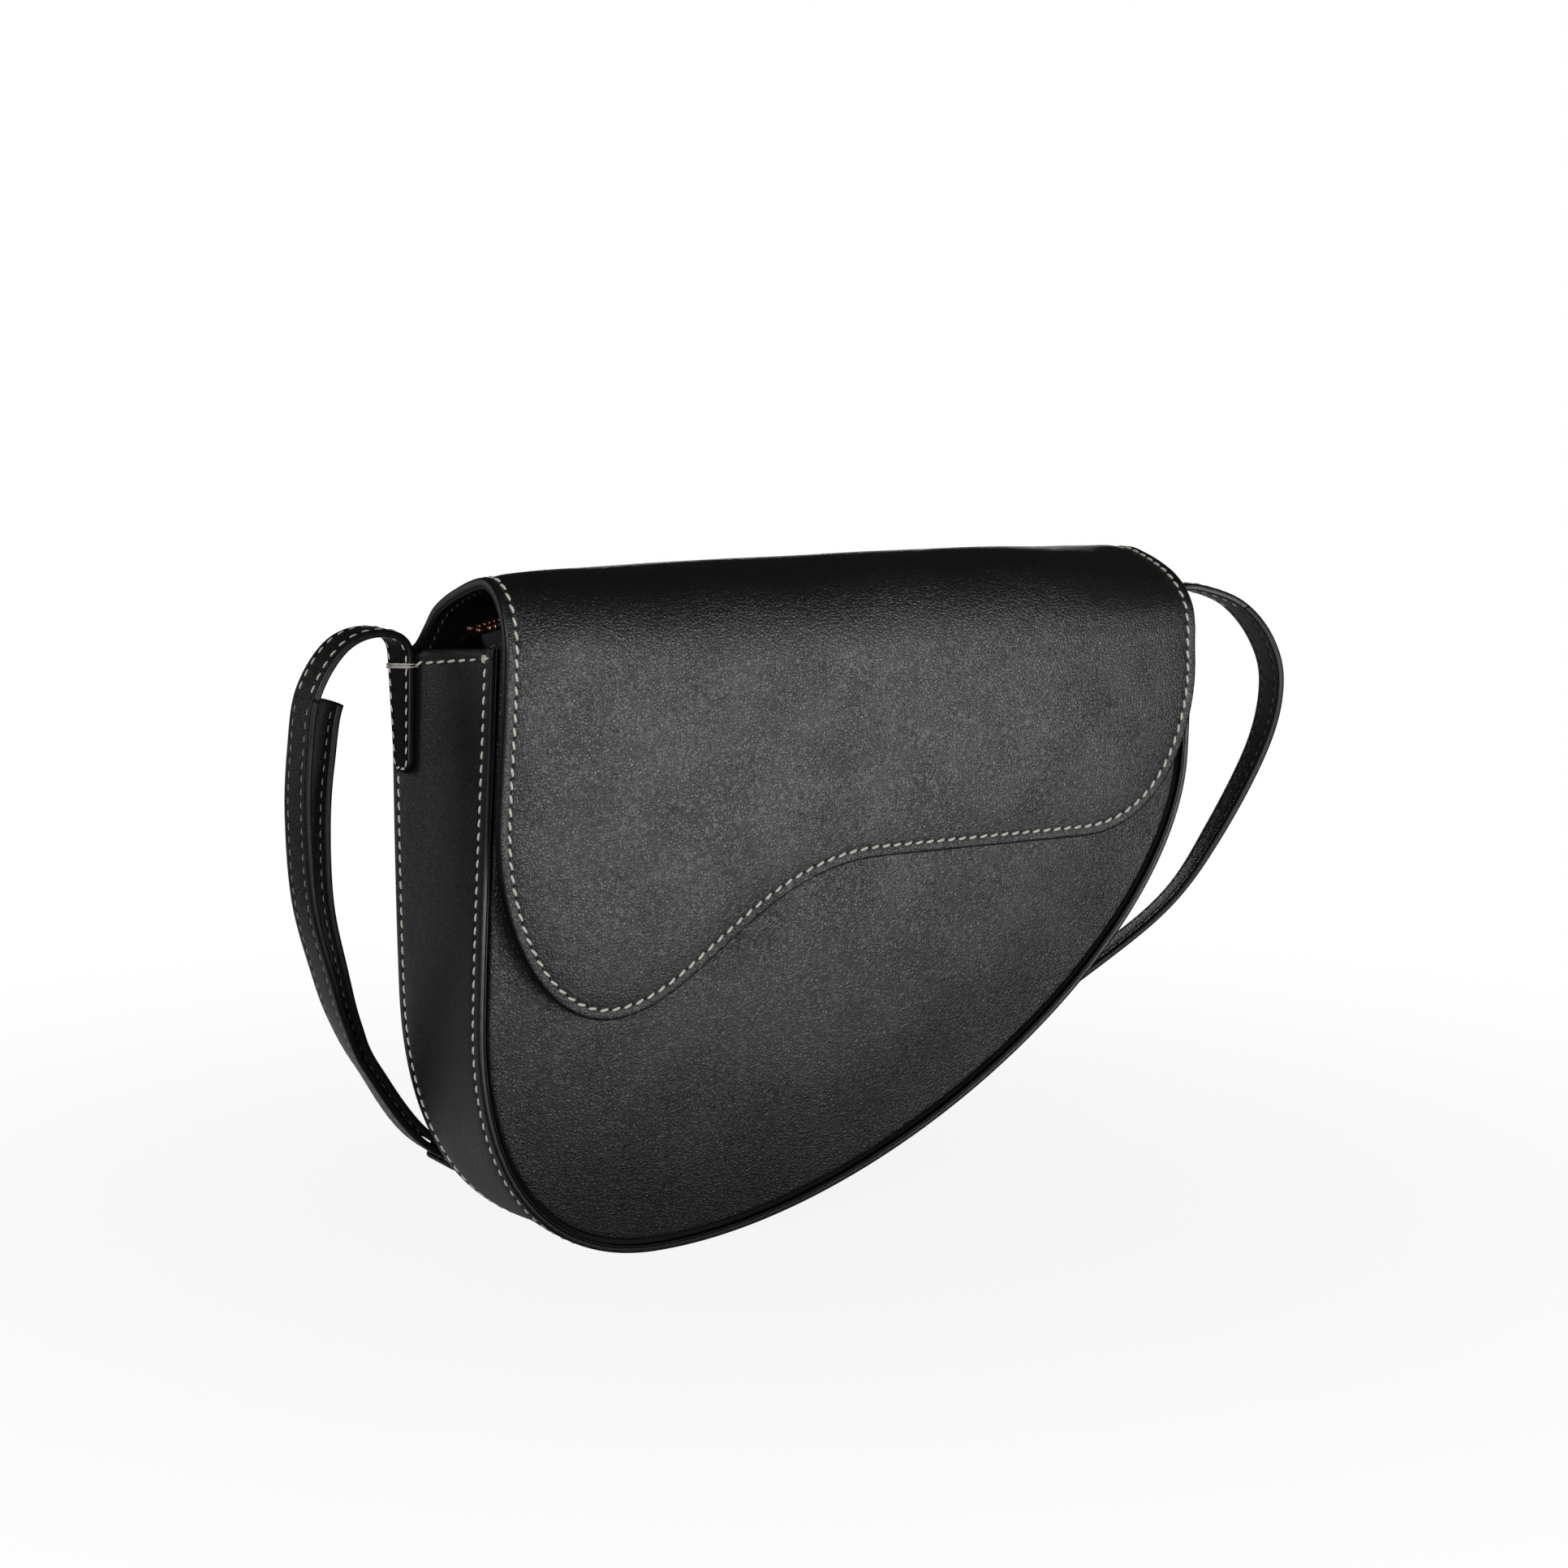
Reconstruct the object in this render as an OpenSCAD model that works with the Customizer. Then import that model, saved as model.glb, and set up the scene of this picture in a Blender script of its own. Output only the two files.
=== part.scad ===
// Saddle handbag: a tapered round-bottomed body with a wave-cut flap, a zip under the flap
// and a buckled shoulder strap. Millimetres, +X to the wearer's right, +Y to the back, +Z up.
// The origin lies on the line through the tops of the two strap arches, at mid width.

/* [Body] */
// Half the width of the body at its mouth
half_w = 127.5; // [105:0.5:150]
// Height from the gusset tops down to the lowest point of the rim
body_h = 185.5; // [160:0.5:215]
// Depth over the rims at the mouth
depth_top = 70; // [62:0.5:90]
// Depth over the rims at the bottom
depth_low = 46.5; // [44:0.5:60]
// How much higher the mouth is at the front rim than at the back
mouth_rise = 6.8; // [2:0.2:8]
// How far the left side swells past the mouth
swell_left = 2.1; // [0:0.1:6]
// How far the right side swells past the mouth
swell_right = 1.5; // [0:0.1:6]
// How far the rims stand proud of the panels
rim_h = 2; // [1.4:0.1:5]
// Thickness of the body leather
leather_t = 1.6; // [1.2:0.1:2.4]
// Thickness of the stiffening boards in the panels
board_t = 1.6; // [1.2:0.1:2.4]
// Thickness of the linings and facings
lining_t = 0.9; // [0.6:0.1:1.4]
// Height of the leather facings inside the mouth
facing_h = 28; // [18:1:40]

/* [Flap] */
// Height of the ridge of the flap over the gusset tops
ridge_h = 26.5; // [22:0.5:34]
// Side gap that the flap keeps from the strap tabs
flap_side_gap = 0.7; // [0.5:0.1:2]
// Depth of the long lobe of the flap below the gusset tops
lobe_h = 108.5; // [90:0.5:130]
// Depth of the short side of the flap below the gusset tops
short_h = 66; // [50:0.5:80]
// Thickness of the flap, leather, board and lining together
flap_t = 3.6; // [3:0.1:4.6]
// Gap between the flap and the front rim
flap_gap = 1.8; // [0.8:0.1:3]
// Height of the strip that sews the flap to the back
root_h = 24; // [12:1:36]
// Radius of the two flat magnets
magnet_r = 8; // [5:0.5:11]

/* [Zip] */
// Length between the ends of the zip
zip_len = 238; // [180:1:242]
// Half the width that the open zip gapes
zip_gape = 7; // [6:0.5:9]
// Height of the left end of the zip over the gusset tops
zip_h = 9; // [6:0.5:9]
// How far the zip rows rise from their left end
zip_rise = 3.4; // [2:0.1:3.6]
// Width of each zip tape
tape_w = 7; // [5:0.5:9]
// Spacing of the zip teeth
tooth_pitch = 3.4; // [2.8:0.1:5]

/* [Strap] */
// Width of the strap
strap_w = 16; // [12:0.5:18]
// Thickness of the strap
strap_t = 2.4; // [1.8:0.1:3]
// Distance of the strap's middle behind the middle of the body
strap_y = 24; // [20:0.5:25]
// Height of the strap arches over the gusset tops
strap_rise = 7.2; // [5:0.1:12]
// Fall of the strap loop from the arches to its lowest stretch
loop_drop = 183; // [170:1:220]
// Gap between the rims and the loop behind the bag
loop_gap = 7.8; // [7:0.1:12]
// Length of the sewn tabs on the gussets
tab_h = 34.5; // [22:0.5:44]
// Width of the tabs at their lower ends
tab_end_w = 10.5; // [8:0.5:14]
// Length of the opening of the buckle
buckle_l = 18; // [15:0.5:24]
// Thickness of the buckle's frame
buckle_t = 3.2; // [2.8:0.1:3.8]

/* [Hidden] */
$fn = 32;

// Shared clearances and overruns
over = 40;
clear = 0.35;
hair = 0.2;

// Body sizes that follow
taper = (depth_top - depth_low) / (2 * body_h);
panel_in = rim_h + leather_t;
board_in = panel_in + board_t;
lining_in = board_in + lining_t;
board_inset = 3;
facing_top = 1.5;
curve_steps = 22;

// Handles of the body's outline, as shares of the size that each follows
side_left_share = 0.57;
side_right_share = 0.228;
low_x_share = -0.525;
corner_side_share = 0.65;
corner_low_share = 0.63;
sweep_low_share = 0.667;
sweep_side_share = 0.352;

// Handles of the flap's edge
lobe_x_share = 0.69;
lobe_side_share = 0.41;
lobe_round_share = 0.74;
lobe_out_share = 0.86;
lobe_in_share = 0.45;
wave_in_share = 0.3;
wave_x_share = 0.06;
wave_round_share = 0.8;
short_in_share = 0.2;
short_x_share = 0.66;
short_out_share = 0.89;
short_round_share = 0.62;
short_side_share = 0.15;
magnet_drop_share = 0.72;

// Handles of the arch of the flap seen from the side
ridge_y_share = 0.24;
slope_in_share = 0.8;
slope_low_share = 0.06;
slope_out_share = 0.03;
nose_top_share = 0.82;
nose_front_share = 0.62;

// Strap sizes that follow
loop_lean = depth_low / 2 + strap_w / 2 + loop_gap - strap_y;
keeper_t = 1.2;
keeper_l = 7;
bar_r = 1.1;
bar_lift = 0.6;
eye_wall = 1.7;
prong_w = 2.4;
prong_arm = 1.6;
prong_slot = 3.6;
tab_seat = 0.25;
path_steps = 6;

// Half the depth of the body at height z, measured over the rims
function half_depth(z) = depth_top / 2 + z * taper;

// Point of a cubic curve with four handles
function cubic(p, t) =
  pow(1 - t, 3) * p[0] + 3 * pow(1 - t, 2) * t * p[1] + 3 * (1 - t) * t * t * p[2] + pow(t, 3) * p[3];

// Points along a chain of cubic curves, each given by its four handles
function chain(curves, n) = [
  for (c = curves, i = [0 : n - 1]) cubic(c, i / n),
  curves[len(curves) - 1][3]
];

function unit(v) = v / norm(v);

// An open line of 2-D points moved sideways by d, to the right of its direction
function beside(line, d) = [
  for (i = [0 : len(line) - 1])
    let (a = line[max(i - 1, 0)], b = line[min(i + 1, len(line) - 1)], u = unit(b - a))
    line[i] + d * [u[1], -u[0]]
];

// The rim seen from the front, from the top left round the bottom to the top right
side_l = half_w + swell_left;
side_r = half_w + swell_right;
rim_line = chain([
  [[-half_w, over / 4], [-half_w - swell_left / 3, -body_h * side_left_share / 3],
    [-side_l, -body_h * side_left_share * 2 / 3], [-side_l, -body_h * side_left_share]],
  [[-side_l, -body_h * side_left_share],
    [-side_l, -body_h * (side_left_share + (1 - side_left_share) * corner_side_share)],
    [low_x_share * half_w * (1 + corner_low_share * (1 / -low_x_share - 1)), -body_h],
    [low_x_share * half_w, -body_h]],
  [[low_x_share * half_w, -body_h], [(low_x_share + sweep_low_share) * half_w, -body_h],
    [side_r, -body_h * (side_right_share + sweep_side_share)], [side_r, -body_h * side_right_share]],
  [[side_r, -body_h * side_right_share], [side_r, -body_h * side_right_share / 2],
    [half_w + swell_right / 2, -body_h * side_right_share / 4], [half_w, over / 4]]
], curve_steps);
function rim(inset) = beside(rim_line, -inset);

flap_half_w = half_w - flap_side_gap;

// The flap seen from the front: straight sides, a long lobe on the left and a shallow wave
flap_line = concat(
  [[-flap_half_w, ridge_h + over]],
  chain([
    [[-flap_half_w, -lobe_h * lobe_side_share], [-flap_half_w, -lobe_h * lobe_round_share],
      [-flap_half_w * lobe_out_share, -lobe_h], [-flap_half_w * lobe_x_share, -lobe_h]],
    [[-flap_half_w * lobe_x_share, -lobe_h], [-flap_half_w * lobe_in_share, -lobe_h],
      [-flap_half_w * wave_in_share, -short_h], [flap_half_w * wave_x_share, -short_h]],
    [[flap_half_w * wave_x_share, -short_h], [flap_half_w * short_in_share, -short_h],
      [flap_half_w * short_x_share * wave_round_share, -short_h], [flap_half_w * short_x_share, -short_h]],
    [[flap_half_w * short_x_share, -short_h], [flap_half_w * short_out_share, -short_h],
      [flap_half_w, -short_h * short_round_share], [flap_half_w, -short_h * short_side_share]]
  ], curve_steps),
  [[flap_half_w, ridge_h + over]]
);
function flap_edge(inset) = beside(flap_line, -inset);

// The outer skin of the flap seen from the left, from the hinge over the ridge to the lobe
hinge_y = half_depth(0);
front_y = half_depth(0) + flap_gap + flap_t;
ridge_y = -depth_top * ridge_y_share;
flap_top = chain([
  [[hinge_y, clear], [hinge_y * slope_in_share, clear + ridge_h * slope_low_share],
    [depth_top * slope_out_share, ridge_h], [ridge_y, ridge_h]],
  [[ridge_y, ridge_h], [-front_y * nose_top_share, ridge_h], [-front_y, ridge_h * nose_front_share],
    [-front_y, 0]]
], curve_steps);
flap_skin = concat(flap_top, [[-front_y + taper * (lobe_h + over), -lobe_h - over]]);
function flap_layer(d) = beside(flap_skin, -d);

// The zip rows, s runs from 0 at the left end to 1 at the right end and side is -1 or 1
zip_y = -8;
zip_end_gap = 2.8;
rise_end_share = 0.1;
function zip_z(s) = zip_h + zip_rise * (1 - pow(max(0, 1 - s / rise_end_share), 2));
function zip_row(s, side) =
  [zip_len * (s - 0.5), zip_y + side * (zip_end_gap + (zip_gape - zip_end_gap) * sqrt(sin(180 * s))), zip_z(s)];

// The strap loop from the left arch to the right arch. Each row has the place sideways as a
// share of half_w, backwards of loop_lean, downwards of loop_drop, and the twist in degrees.
loop_shares = [
  [-1.090, 0, 0, 0], [-1.180, 0, 0.022, 0], [-1.252, 0, 0.095, 0], [-1.275, 0.02, 0.190, 0],
  [-1.280, 0.10, 0.305, -1], [-1.262, 0.20, 0.450, -1], [-1.210, 0.36, 0.575, 0], [-1.160, 0.58, 0.664, 4],
  [-1.085, 0.82, 0.755, 10], [-0.915, 0.99, 0.905, 4], [-0.640, 1.02, 0.976, 0],
  [-0.330, 1, 1, 0], [0, 1, 0.990, 0], [0.360, 1, 0.942, 4], [0.730, 0.97, 0.850, 14],
  [1.100, 0.78, 0.720, 24], [1.330, 0.50, 0.609, 26], [1.465, 0.22, 0.478, 19],
  [1.563, -0.26, 0.315, 16], [1.575, -0.60, 0.192, 12], [1.541, -0.55, 0.105, 8],
  [1.462, -0.30, 0.036, 6], [1.340, -0.06, 0.003, 1], [1.240, 0, 0, 0]
];
loop_sizes = [half_w, loop_lean, loop_drop];
function loop_point(i) =
  let (k = max(0, min(i, len(loop_shares) - 1)), q = loop_shares[k],
    p = [q[0] * half_w, strap_y + q[1] * loop_lean, strap_rise - q[2] * loop_drop, q[3]],
    r = loop_shares[i < 0 ? 1 : len(loop_shares) - 2])
  k == i ? p : [2 * p[0] - r[0] * half_w, strap_y + r[1] * loop_lean, strap_rise - r[2] * loop_drop, 0];

// Point and twist of the loop at i, where whole numbers are the rows of the table
function loop_at(i) =
  let (k = min(floor(i), len(loop_shares) - 2), t = i - k,
    a = loop_point(k - 1), b = loop_point(k), c = loop_point(k + 1), d = loop_point(k + 2))
  (2 * b + (c - a) * t + (2 * a - 5 * b + 4 * c - d) * t * t + (3 * b - a - 3 * c + d) * t * t * t) / 2;
function along_loop(i) =
  let (e = 0.02, a = loop_at(max(i - e, 0)), b = loop_at(min(i + e, len(loop_shares) - 1)))
  unit([b[0] - a[0], b[1] - a[1], b[2] - a[2]]);
function across_loop(i) =
  let (w = loop_at(i)[3], v = [sin(w), cos(w), 0], t = along_loop(i))
  unit(v - (v * t) * t);

// Four corners of the strap at i, moved by lift towards the inside of the loop
function strap_ring(i, lift, w = strap_w) =
  let (p = loop_at(i), v = across_loop(i), n = cross(along_loop(i), v), c = [p[0], p[1], p[2]])
  [for (q = [[-1, -1], [1, -1], [1, 1], [-1, 1]]) c + q[0] * v * w / 2 + n * (lift + q[1] * strap_t / 2)];

// Rows of the table where things sit on the strap
buckle_i = 11;
keeper_i = 10.35;
slider_i = 9.3;
tail_end_i = 2.04;

// How far the strap's right half and its tail lie above the loop's line at the buckle
sag_room = 0.9;
under_bar = bar_lift - buckle_t / 2 - hair - strap_t / 2 - sag_room;
over_bar = bar_lift + bar_r + hair / 4 + eye_wall + 2 * hair + strap_t / 2;
tail_lift = strap_t + 2 * hair;
tail_shares = [[0, 2.8], [0.12, 2.6], [0.27, 2.1], [0.45, 1.5], [0.6, 1.15], [0.7, 1.08], [1, 1.08]];

/* Placing helpers */

module at_hang_point() {
  translate([0, -strap_y, -strap_rise]) children();
}

// Extrudes a shape drawn in X and Z through the whole depth
module through_depth() {
  rotate([90, 0, 0]) linear_extrude(height = 2 * (depth_top + over), center = true) children();
}

// Extrudes a shape drawn in Y and Z through the whole width
module through_width() {
  rotate([90, 0, 90]) linear_extrude(height = 2 * (half_w + over), center = true) children();
}

// A closed skin over rings with the same number of points, whichever way round they run
module loft(given) {
  n = len(given[0]);
  m = len(given);
  turn = cross(given[0][1] - given[0][0], given[0][2] - given[0][1]) * (given[1][0] - given[0][0]);
  rings = turn < 0 ? given : [for (r = given) [for (j = [n - 1 : -1 : 0]) r[j]]];
  polyhedron(
    points = [for (r = rings, p = r) p],
    faces = concat(
      [[for (j = [n - 1 : -1 : 0]) j]],
      [[for (j = [0 : n - 1]) (m - 1) * n + j]],
      [for (i = [0 : m - 2], j = [0 : n - 1]) let (a = i * n + j, b = i * n + (j + 1) % n)
        [a, b, b + n]],
      [for (i = [0 : m - 2], j = [0 : n - 1]) let (a = i * n + j, b = i * n + (j + 1) % n)
        [a, b + n, a + n]]
    )
  );
}

// A slab that follows a panel, from depth a to depth b inside the rim; side is -1 at the front
module slab(side, a, b, top, bottom) {
  polygon([
    [side * (half_depth(top) - a), top], [side * (half_depth(top) - b), top],
    [side * (half_depth(bottom) - b), bottom], [side * (half_depth(bottom) - a), bottom]
  ]);
}

// The wedge between the two panels, starting at depth a inside the rims
module wedge(a, top, bottom) {
  polygon([
    [-half_depth(top) + a, top], [half_depth(top) - a, top],
    [half_depth(bottom) - a, bottom], [-half_depth(bottom) + a, bottom]
  ]);
}

// Everything above the inside of the flap and its running clearance
module flap_room() {
  line = beside(flap_top, -flap_t - clear);
  polygon(concat(
    [[depth_top + over, line[0][1] - clear]],
    [[line[0][0], line[0][1] - clear]],
    line,
    [[-depth_top - over, 0], [-depth_top - over, ridge_h + over], [depth_top + over, ridge_h + over]]
  ));
}

// The rim's outline with its two sides carried on above the mouth
function tall_rim(inset, extra) =
  let (line = rim(inset), top = mouth_rise + extra)
  concat(line, [[line[len(line) - 1][0], top], [line[0][0], top]]);

// A piece cut to the rim's outline, with its section drawn in Y and Z by the children
module cut_to_rim(inset) {
  intersection() {
    through_depth() polygon(tall_rim(inset, over));
    through_width() difference() {
      children();
      flap_room();
    }
  }
}

module rim_ring(outer, inner) {
  intersection() {
    through_depth() difference() {
      polygon(tall_rim(outer, over));
      polygon(tall_rim(inner, 2 * over));
    }
    through_width() difference() {
      children();
      flap_room();
    }
  }
}

/* Body */

module panel(side) {
  union() {
    cut_to_rim(leather_t) slab(side, rim_h, panel_in, side < 0 ? mouth_rise : 0, -body_h - over);
    rim_ring(leather_t, 2 * leather_t)
      slab(side, 0, rim_h, side < 0 ? mouth_rise : 0, -body_h - over);
  }
}

module front_panel() {
  at_hang_point() color("#1b1b1d") panel(-1);
}

module back_panel() {
  at_hang_point() color("#1b1b1d") panel(1);
}

// The section of the gusset, whose top rises to the front rim from beside the strap tab
module gusset_section() {
  bottom = -body_h - over;
  start = strap_y - strap_w / 2;
  full = start - leather_t;
  polygon([
    [-half_depth(mouth_rise), mouth_rise],
    [full, mouth_rise * (half_depth(0) - full) / depth_top],
    [start + leather_t, 0], [half_depth(0), 0],
    [half_depth(bottom), bottom], [-half_depth(bottom), bottom]
  ]);
}

module gusset() {
  at_hang_point() color("#202022") rim_ring(0, leather_t) gusset_section();
}

module magnet_place(side, y_in, size) {
  z = -lobe_h * magnet_drop_share;
  translate([-half_w * lobe_x_share, side * (half_depth(z) - y_in), z])
    rotate([90 - side * atan(taper), 0, 0]) cylinder(r = magnet_r, h = size, center = true);
}

module board(side) {
  difference() {
    cut_to_rim(leather_t + board_inset)
      slab(side, panel_in, board_in, -board_inset - facing_top, -body_h - over);
    if (side < 0) magnet_hole();
  }
}

module magnet_hole() {
  z = -lobe_h * magnet_drop_share;
  translate([-half_w * lobe_x_share, -half_depth(z) + (panel_in + board_in) / 2, z])
    rotate([90 + atan(taper), 0, 0])
      cylinder(r = magnet_r + hair, h = 3 * board_t, center = true);
}

module front_board() {
  at_hang_point() color("#8d8577") board(-1);
}

module back_board() {
  at_hang_point() color("#8d8577") board(1);
}

module body_magnet() {
  at_hang_point() color("#9a9a9c") magnet_place(-1, (panel_in + board_in) / 2, board_t - hair);
}

module lining(side) {
  cut_to_rim(leather_t + clear)
    slab(side, board_in, lining_in, -facing_h, -body_h - over);
}

module front_lining() {
  at_hang_point() color("#2c2a2b") lining(-1);
}

module back_lining() {
  at_hang_point() color("#2c2a2b") lining(1);
}

module gusset_lining() {
  at_hang_point() color("#2c2a2b")
    rim_ring(leather_t, leather_t + lining_t)
      wedge(lining_in, -facing_top, -body_h - over);
}

module facing(side) {
  cut_to_rim(leather_t + clear)
    slab(side, board_in, lining_in, -facing_top, -facing_h);
}

module front_facing() {
  at_hang_point() color("#1b1b1d") facing(-1);
}

module back_facing() {
  at_hang_point() color("#1b1b1d") facing(1);
}

// A patch pocket on the back lining: its front stands off so that a phone slips in from above
pocket_half_w = 62;
pocket_top = 36;
pocket_low = 118;
pocket_room = 7;
module slip_pocket() {
  at_hang_point() color("#262425")
    intersection() {
      through_depth() difference() {
        translate([-pocket_half_w, -pocket_low]) square([2 * pocket_half_w, pocket_low - pocket_top]);
      }
      difference() {
        through_width() slab(1, lining_in, lining_in + pocket_room + lining_t, 0, -body_h);
        intersection() {
          through_width() slab(1, 0, lining_in + pocket_room, over, -body_h);
          through_depth() translate([lining_t - pocket_half_w, lining_t - pocket_low])
            square([2 * (pocket_half_w - lining_t), pocket_low + over]);
        }
      }
    }
}

/* Zip under the flap */

zip_seat = 8;
zip_steps = 40;
panel_skin = 1.2;

// A strip between a panel's facing and one zip row
module zip_panel(side) {
  z0 = -zip_seat;
  y0 = side * (half_depth(z0) - lining_in - hair);
  loft([
    for (i = [0 : zip_steps])
      let (s = i / zip_steps, p = zip_row(s, side), q = p - [0, 0, panel_drop])
      [[p[0], y0, z0 - panel_skin], [p[0], y0, z0], q, [q[0], q[1], q[2] - panel_skin]]
  ]);
}

module zip_panel_front() {
  at_hang_point() color("#1b1b1d") zip_panel(-1);
}

module zip_panel_back() {
  at_hang_point() color("#1b1b1d") mirror([0, 0, 0]) zip_panel(1);
}

tape_t = 0.6;
tape_start = 1.4;
panel_drop = 0.95;
module zip_tape(side) {
  z0 = -zip_seat;
  y0 = side * (half_depth(z0) - lining_in - hair);
  loft([
    for (i = [0 : zip_steps])
      let (s = i / zip_steps, p = zip_row(s, side), r = [p[0], y0, z0], u = unit(r - p),
        up = unit(cross([1, 0, 0], u) * side))
      [for (q = [[0, 0], [tape_w, 0], [tape_w, tape_t], [0, tape_t]])
        p + u * (tape_start + q[0]) + up * (tape_t - q[1])]
  ]);
}

module zip_tape_front() {
  at_hang_point() color("#161616") zip_tape(-1);
}

module zip_tape_back() {
  at_hang_point() color("#161616") zip_tape(1);
}

tooth_l = 2.4;
tooth_w = 1.5;
tooth_h = 1.5;
module zip_teeth(side) {
  count = floor(zip_len / tooth_pitch) - 2;
  for (i = [0 : count - 1]) {
    s = 0.5 + (i - (count - 1) / 2) * tooth_pitch / zip_len;
    translate(zip_row(s, side) + [0, 0, tape_t / 2 + hair])
      cube([tooth_w, tooth_l, tooth_h], center = true);
  }
}

module zip_teeth_front() {
  at_hang_point() color("#b98a6a") zip_teeth(-1);
}

module zip_teeth_back() {
  at_hang_point() color("#b98a6a") zip_teeth(1);
}

stop_l = 3;
module zip_end_stops() {
  at_hang_point() color("#b98a6a")
    for (s = [0, 1])
      translate([(s - 0.5) * (zip_len - stop_l), zip_y, zip_z(max(s, stop_l / zip_len)) + tape_t + hair])
        cube([stop_l, 2 * (zip_end_gap + tooth_l), tooth_h], center = true);
}

slider_l = 9;
slider_w = 9;
slider_post_w = 4.4;
slider_plate = 0.9;
slider_x = zip_len / 2 - stop_l - slider_l / 2 - clear;
slider_low = -2.4;
slider_high = tape_t / 2 + hair + tooth_h / 2 + clear;
cheek_gap = 3;
cheek_t = 0.8;
cheek_r = 1.5;
pin_r = 0.6;
pin_z = slider_high + slider_plate + cheek_r - hair;
pull_l = 15;
pull_w = 5;
pull_t = 1.2;
pull_eye_w = cheek_gap - 2 * clear;

module at_slider() {
  translate([slider_x, zip_y, zip_h + zip_rise]) children();
}

module zip_slider() {
  at_hang_point() color("#c09070") at_slider() {
    translate([-slider_l / 2, -slider_w / 2, slider_high]) cube([slider_l, slider_w, slider_plate]);
    translate([-slider_l / 3, -slider_post_w / 2, slider_low])
      cube([slider_l * 2 / 3, slider_post_w, slider_high + slider_plate / 2 - slider_low]);
    for (k = [-1, 1]) translate([0, k * (cheek_gap + cheek_t) / 2, pin_z])
      rotate([90, 0, 0]) cylinder(r = cheek_r, h = cheek_t, center = true);
    translate([0, 0, pin_z]) rotate([90, 0, 0]) cylinder(r = pin_r, h = cheek_gap + cheek_t, center = true);
  }
}

module zip_pull() {
  at_hang_point() color("#c09070") at_slider() translate([0, 0, pin_z]) difference() {
    union() {
      rotate([90, 0, 0]) cylinder(r = cheek_r - clear, h = pull_eye_w, center = true);
      translate([-2 * cheek_r, -pull_eye_w / 2, -pull_t / 2]) cube([2 * cheek_r, pull_eye_w, pull_t]);
      translate([-pull_l, -pull_w / 2, -pull_t / 2]) cube([pull_l - cheek_r - clear, pull_w, pull_t]);
    }
    rotate([90, 0, 0]) cylinder(r = pin_r + hair / 4, h = 2 * pull_w, center = true);
  }
}

/* Flap */

module flap_sheet(inset, a, b) {
  intersection() {
    through_depth() polygon(flap_edge(inset));
    through_width() polygon(concat(flap_layer(a), [for (i = [len(flap_skin) - 1 : -1 : 0]) flap_layer(b)[i]]));
  }
}

flap_skin_t = 1.6;
flap_lining_t = 1;
flap_board_t = flap_t - flap_skin_t - flap_lining_t;
flap_board_inset = 6;

module flap_leather() {
  at_hang_point() color("#1d1d1f") flap_sheet(0, 0, flap_skin_t);
}

module flap_lining() {
  at_hang_point() color("#242223") flap_sheet(0, flap_t - flap_lining_t, flap_t);
}

module flap_board() {
  at_hang_point() color("#8d8577")
    difference() {
      intersection() {
        flap_sheet(flap_board_inset, flap_skin_t, flap_t - flap_lining_t);
        translate([-half_w, -depth_top - over, -lobe_h]) cube([2 * half_w, depth_top + over, lobe_h]);
      }
      flap_magnet_shape(magnet_r + hair, flap_t);
    }
}

module flap_magnet_shape(r, h) {
  z = -lobe_h * magnet_drop_share;
  y_in = -flap_gap - flap_lining_t - flap_board_t / 2;
  translate([-half_w * lobe_x_share, -half_depth(z) + y_in, z])
    rotate([90 + atan(taper), 0, 0]) cylinder(r = r, h = h, center = true);
}

module flap_magnet() {
  at_hang_point() color("#9a9a9c") flap_magnet_shape(magnet_r, flap_board_t - hair);
}

// The strip sewn on the back panel between the rims
module flap_root() {
  at_hang_point() color("#1d1d1f")
    intersection() {
      through_depth() translate([-half_w, -root_h]) square([2 * half_w, root_h - clear]);
      through_depth() polygon(rim(2 * leather_t + clear));
      through_width() difference() {
        slab(1, hair, rim_h, 0, -body_h);
        flap_room();
      }
    }
}

/* Strap */

// Path of the left tab and arch: from the lower end of the tab up and over to the arch's top
function tab_ring(side, x, y, z, dx, dz, w) =
  let (u = unit([dx, dz]), n = [u[1], -u[0]])
  [for (q = [[-1, -1], [1, -1], [1, 1], [-1, 1]])
    [side * (x + q[1] * n[0] * strap_t / 2), y + q[0] * w / 2, z + q[1] * n[1] * strap_t / 2]];

// Distance of the gusset's outer face from the middle at height z; side is -1 on the left
function side_x(side, z) =
  lookup(z, [for (p = rim_line) if (p[0] * side > 0 && p[1] > -body_h / 2) [p[1], p[0] * side]]);

// The tab on the gusset and the arch that it rises into; top is the arch's top
module strap_tab(side, top) {
  z1 = -facing_top;
  x0 = side_x(side, z1) + tab_seat + strap_t / 2;
  reach = top - x0;
  taper_y = (strap_w - tab_end_w) / 2;
  steps = 12;
  rings = concat(
    [for (i = [0 : 3]) let (t = i / 3)
      let (z = z1 - (1 - t) * tab_h)
      tab_ring(side, side_x(side, z) + tab_seat + strap_t / 2, strap_y - (1 - t) * taper_y, z, 0, 1,
        tab_end_w + t * (strap_w - tab_end_w))],
    [for (i = [1 : steps])
      let (h = [[x0, z1], [x0, strap_rise * 0.7], [x0 + reach * 0.4, strap_rise], [x0 + reach, strap_rise]],
        p = cubic(h, i / steps), q = cubic(h, (i - 0.5) / steps),
        d = i == steps ? [1, 0] : p - q)
      tab_ring(side, p[0] - (i == steps ? clear / 2 : 0), strap_y, p[1], d[0], d[1], strap_w)]
  );
  loft(rings);
}

module strap_tab_left() {
  at_hang_point() color("#18181a") strap_tab(-1, -loop_point(0)[0]);
}

module strap_tab_right() {
  at_hang_point() color("#18181a") strap_tab(1, loop_point(len(loop_shares) - 1)[0]);
}

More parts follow.
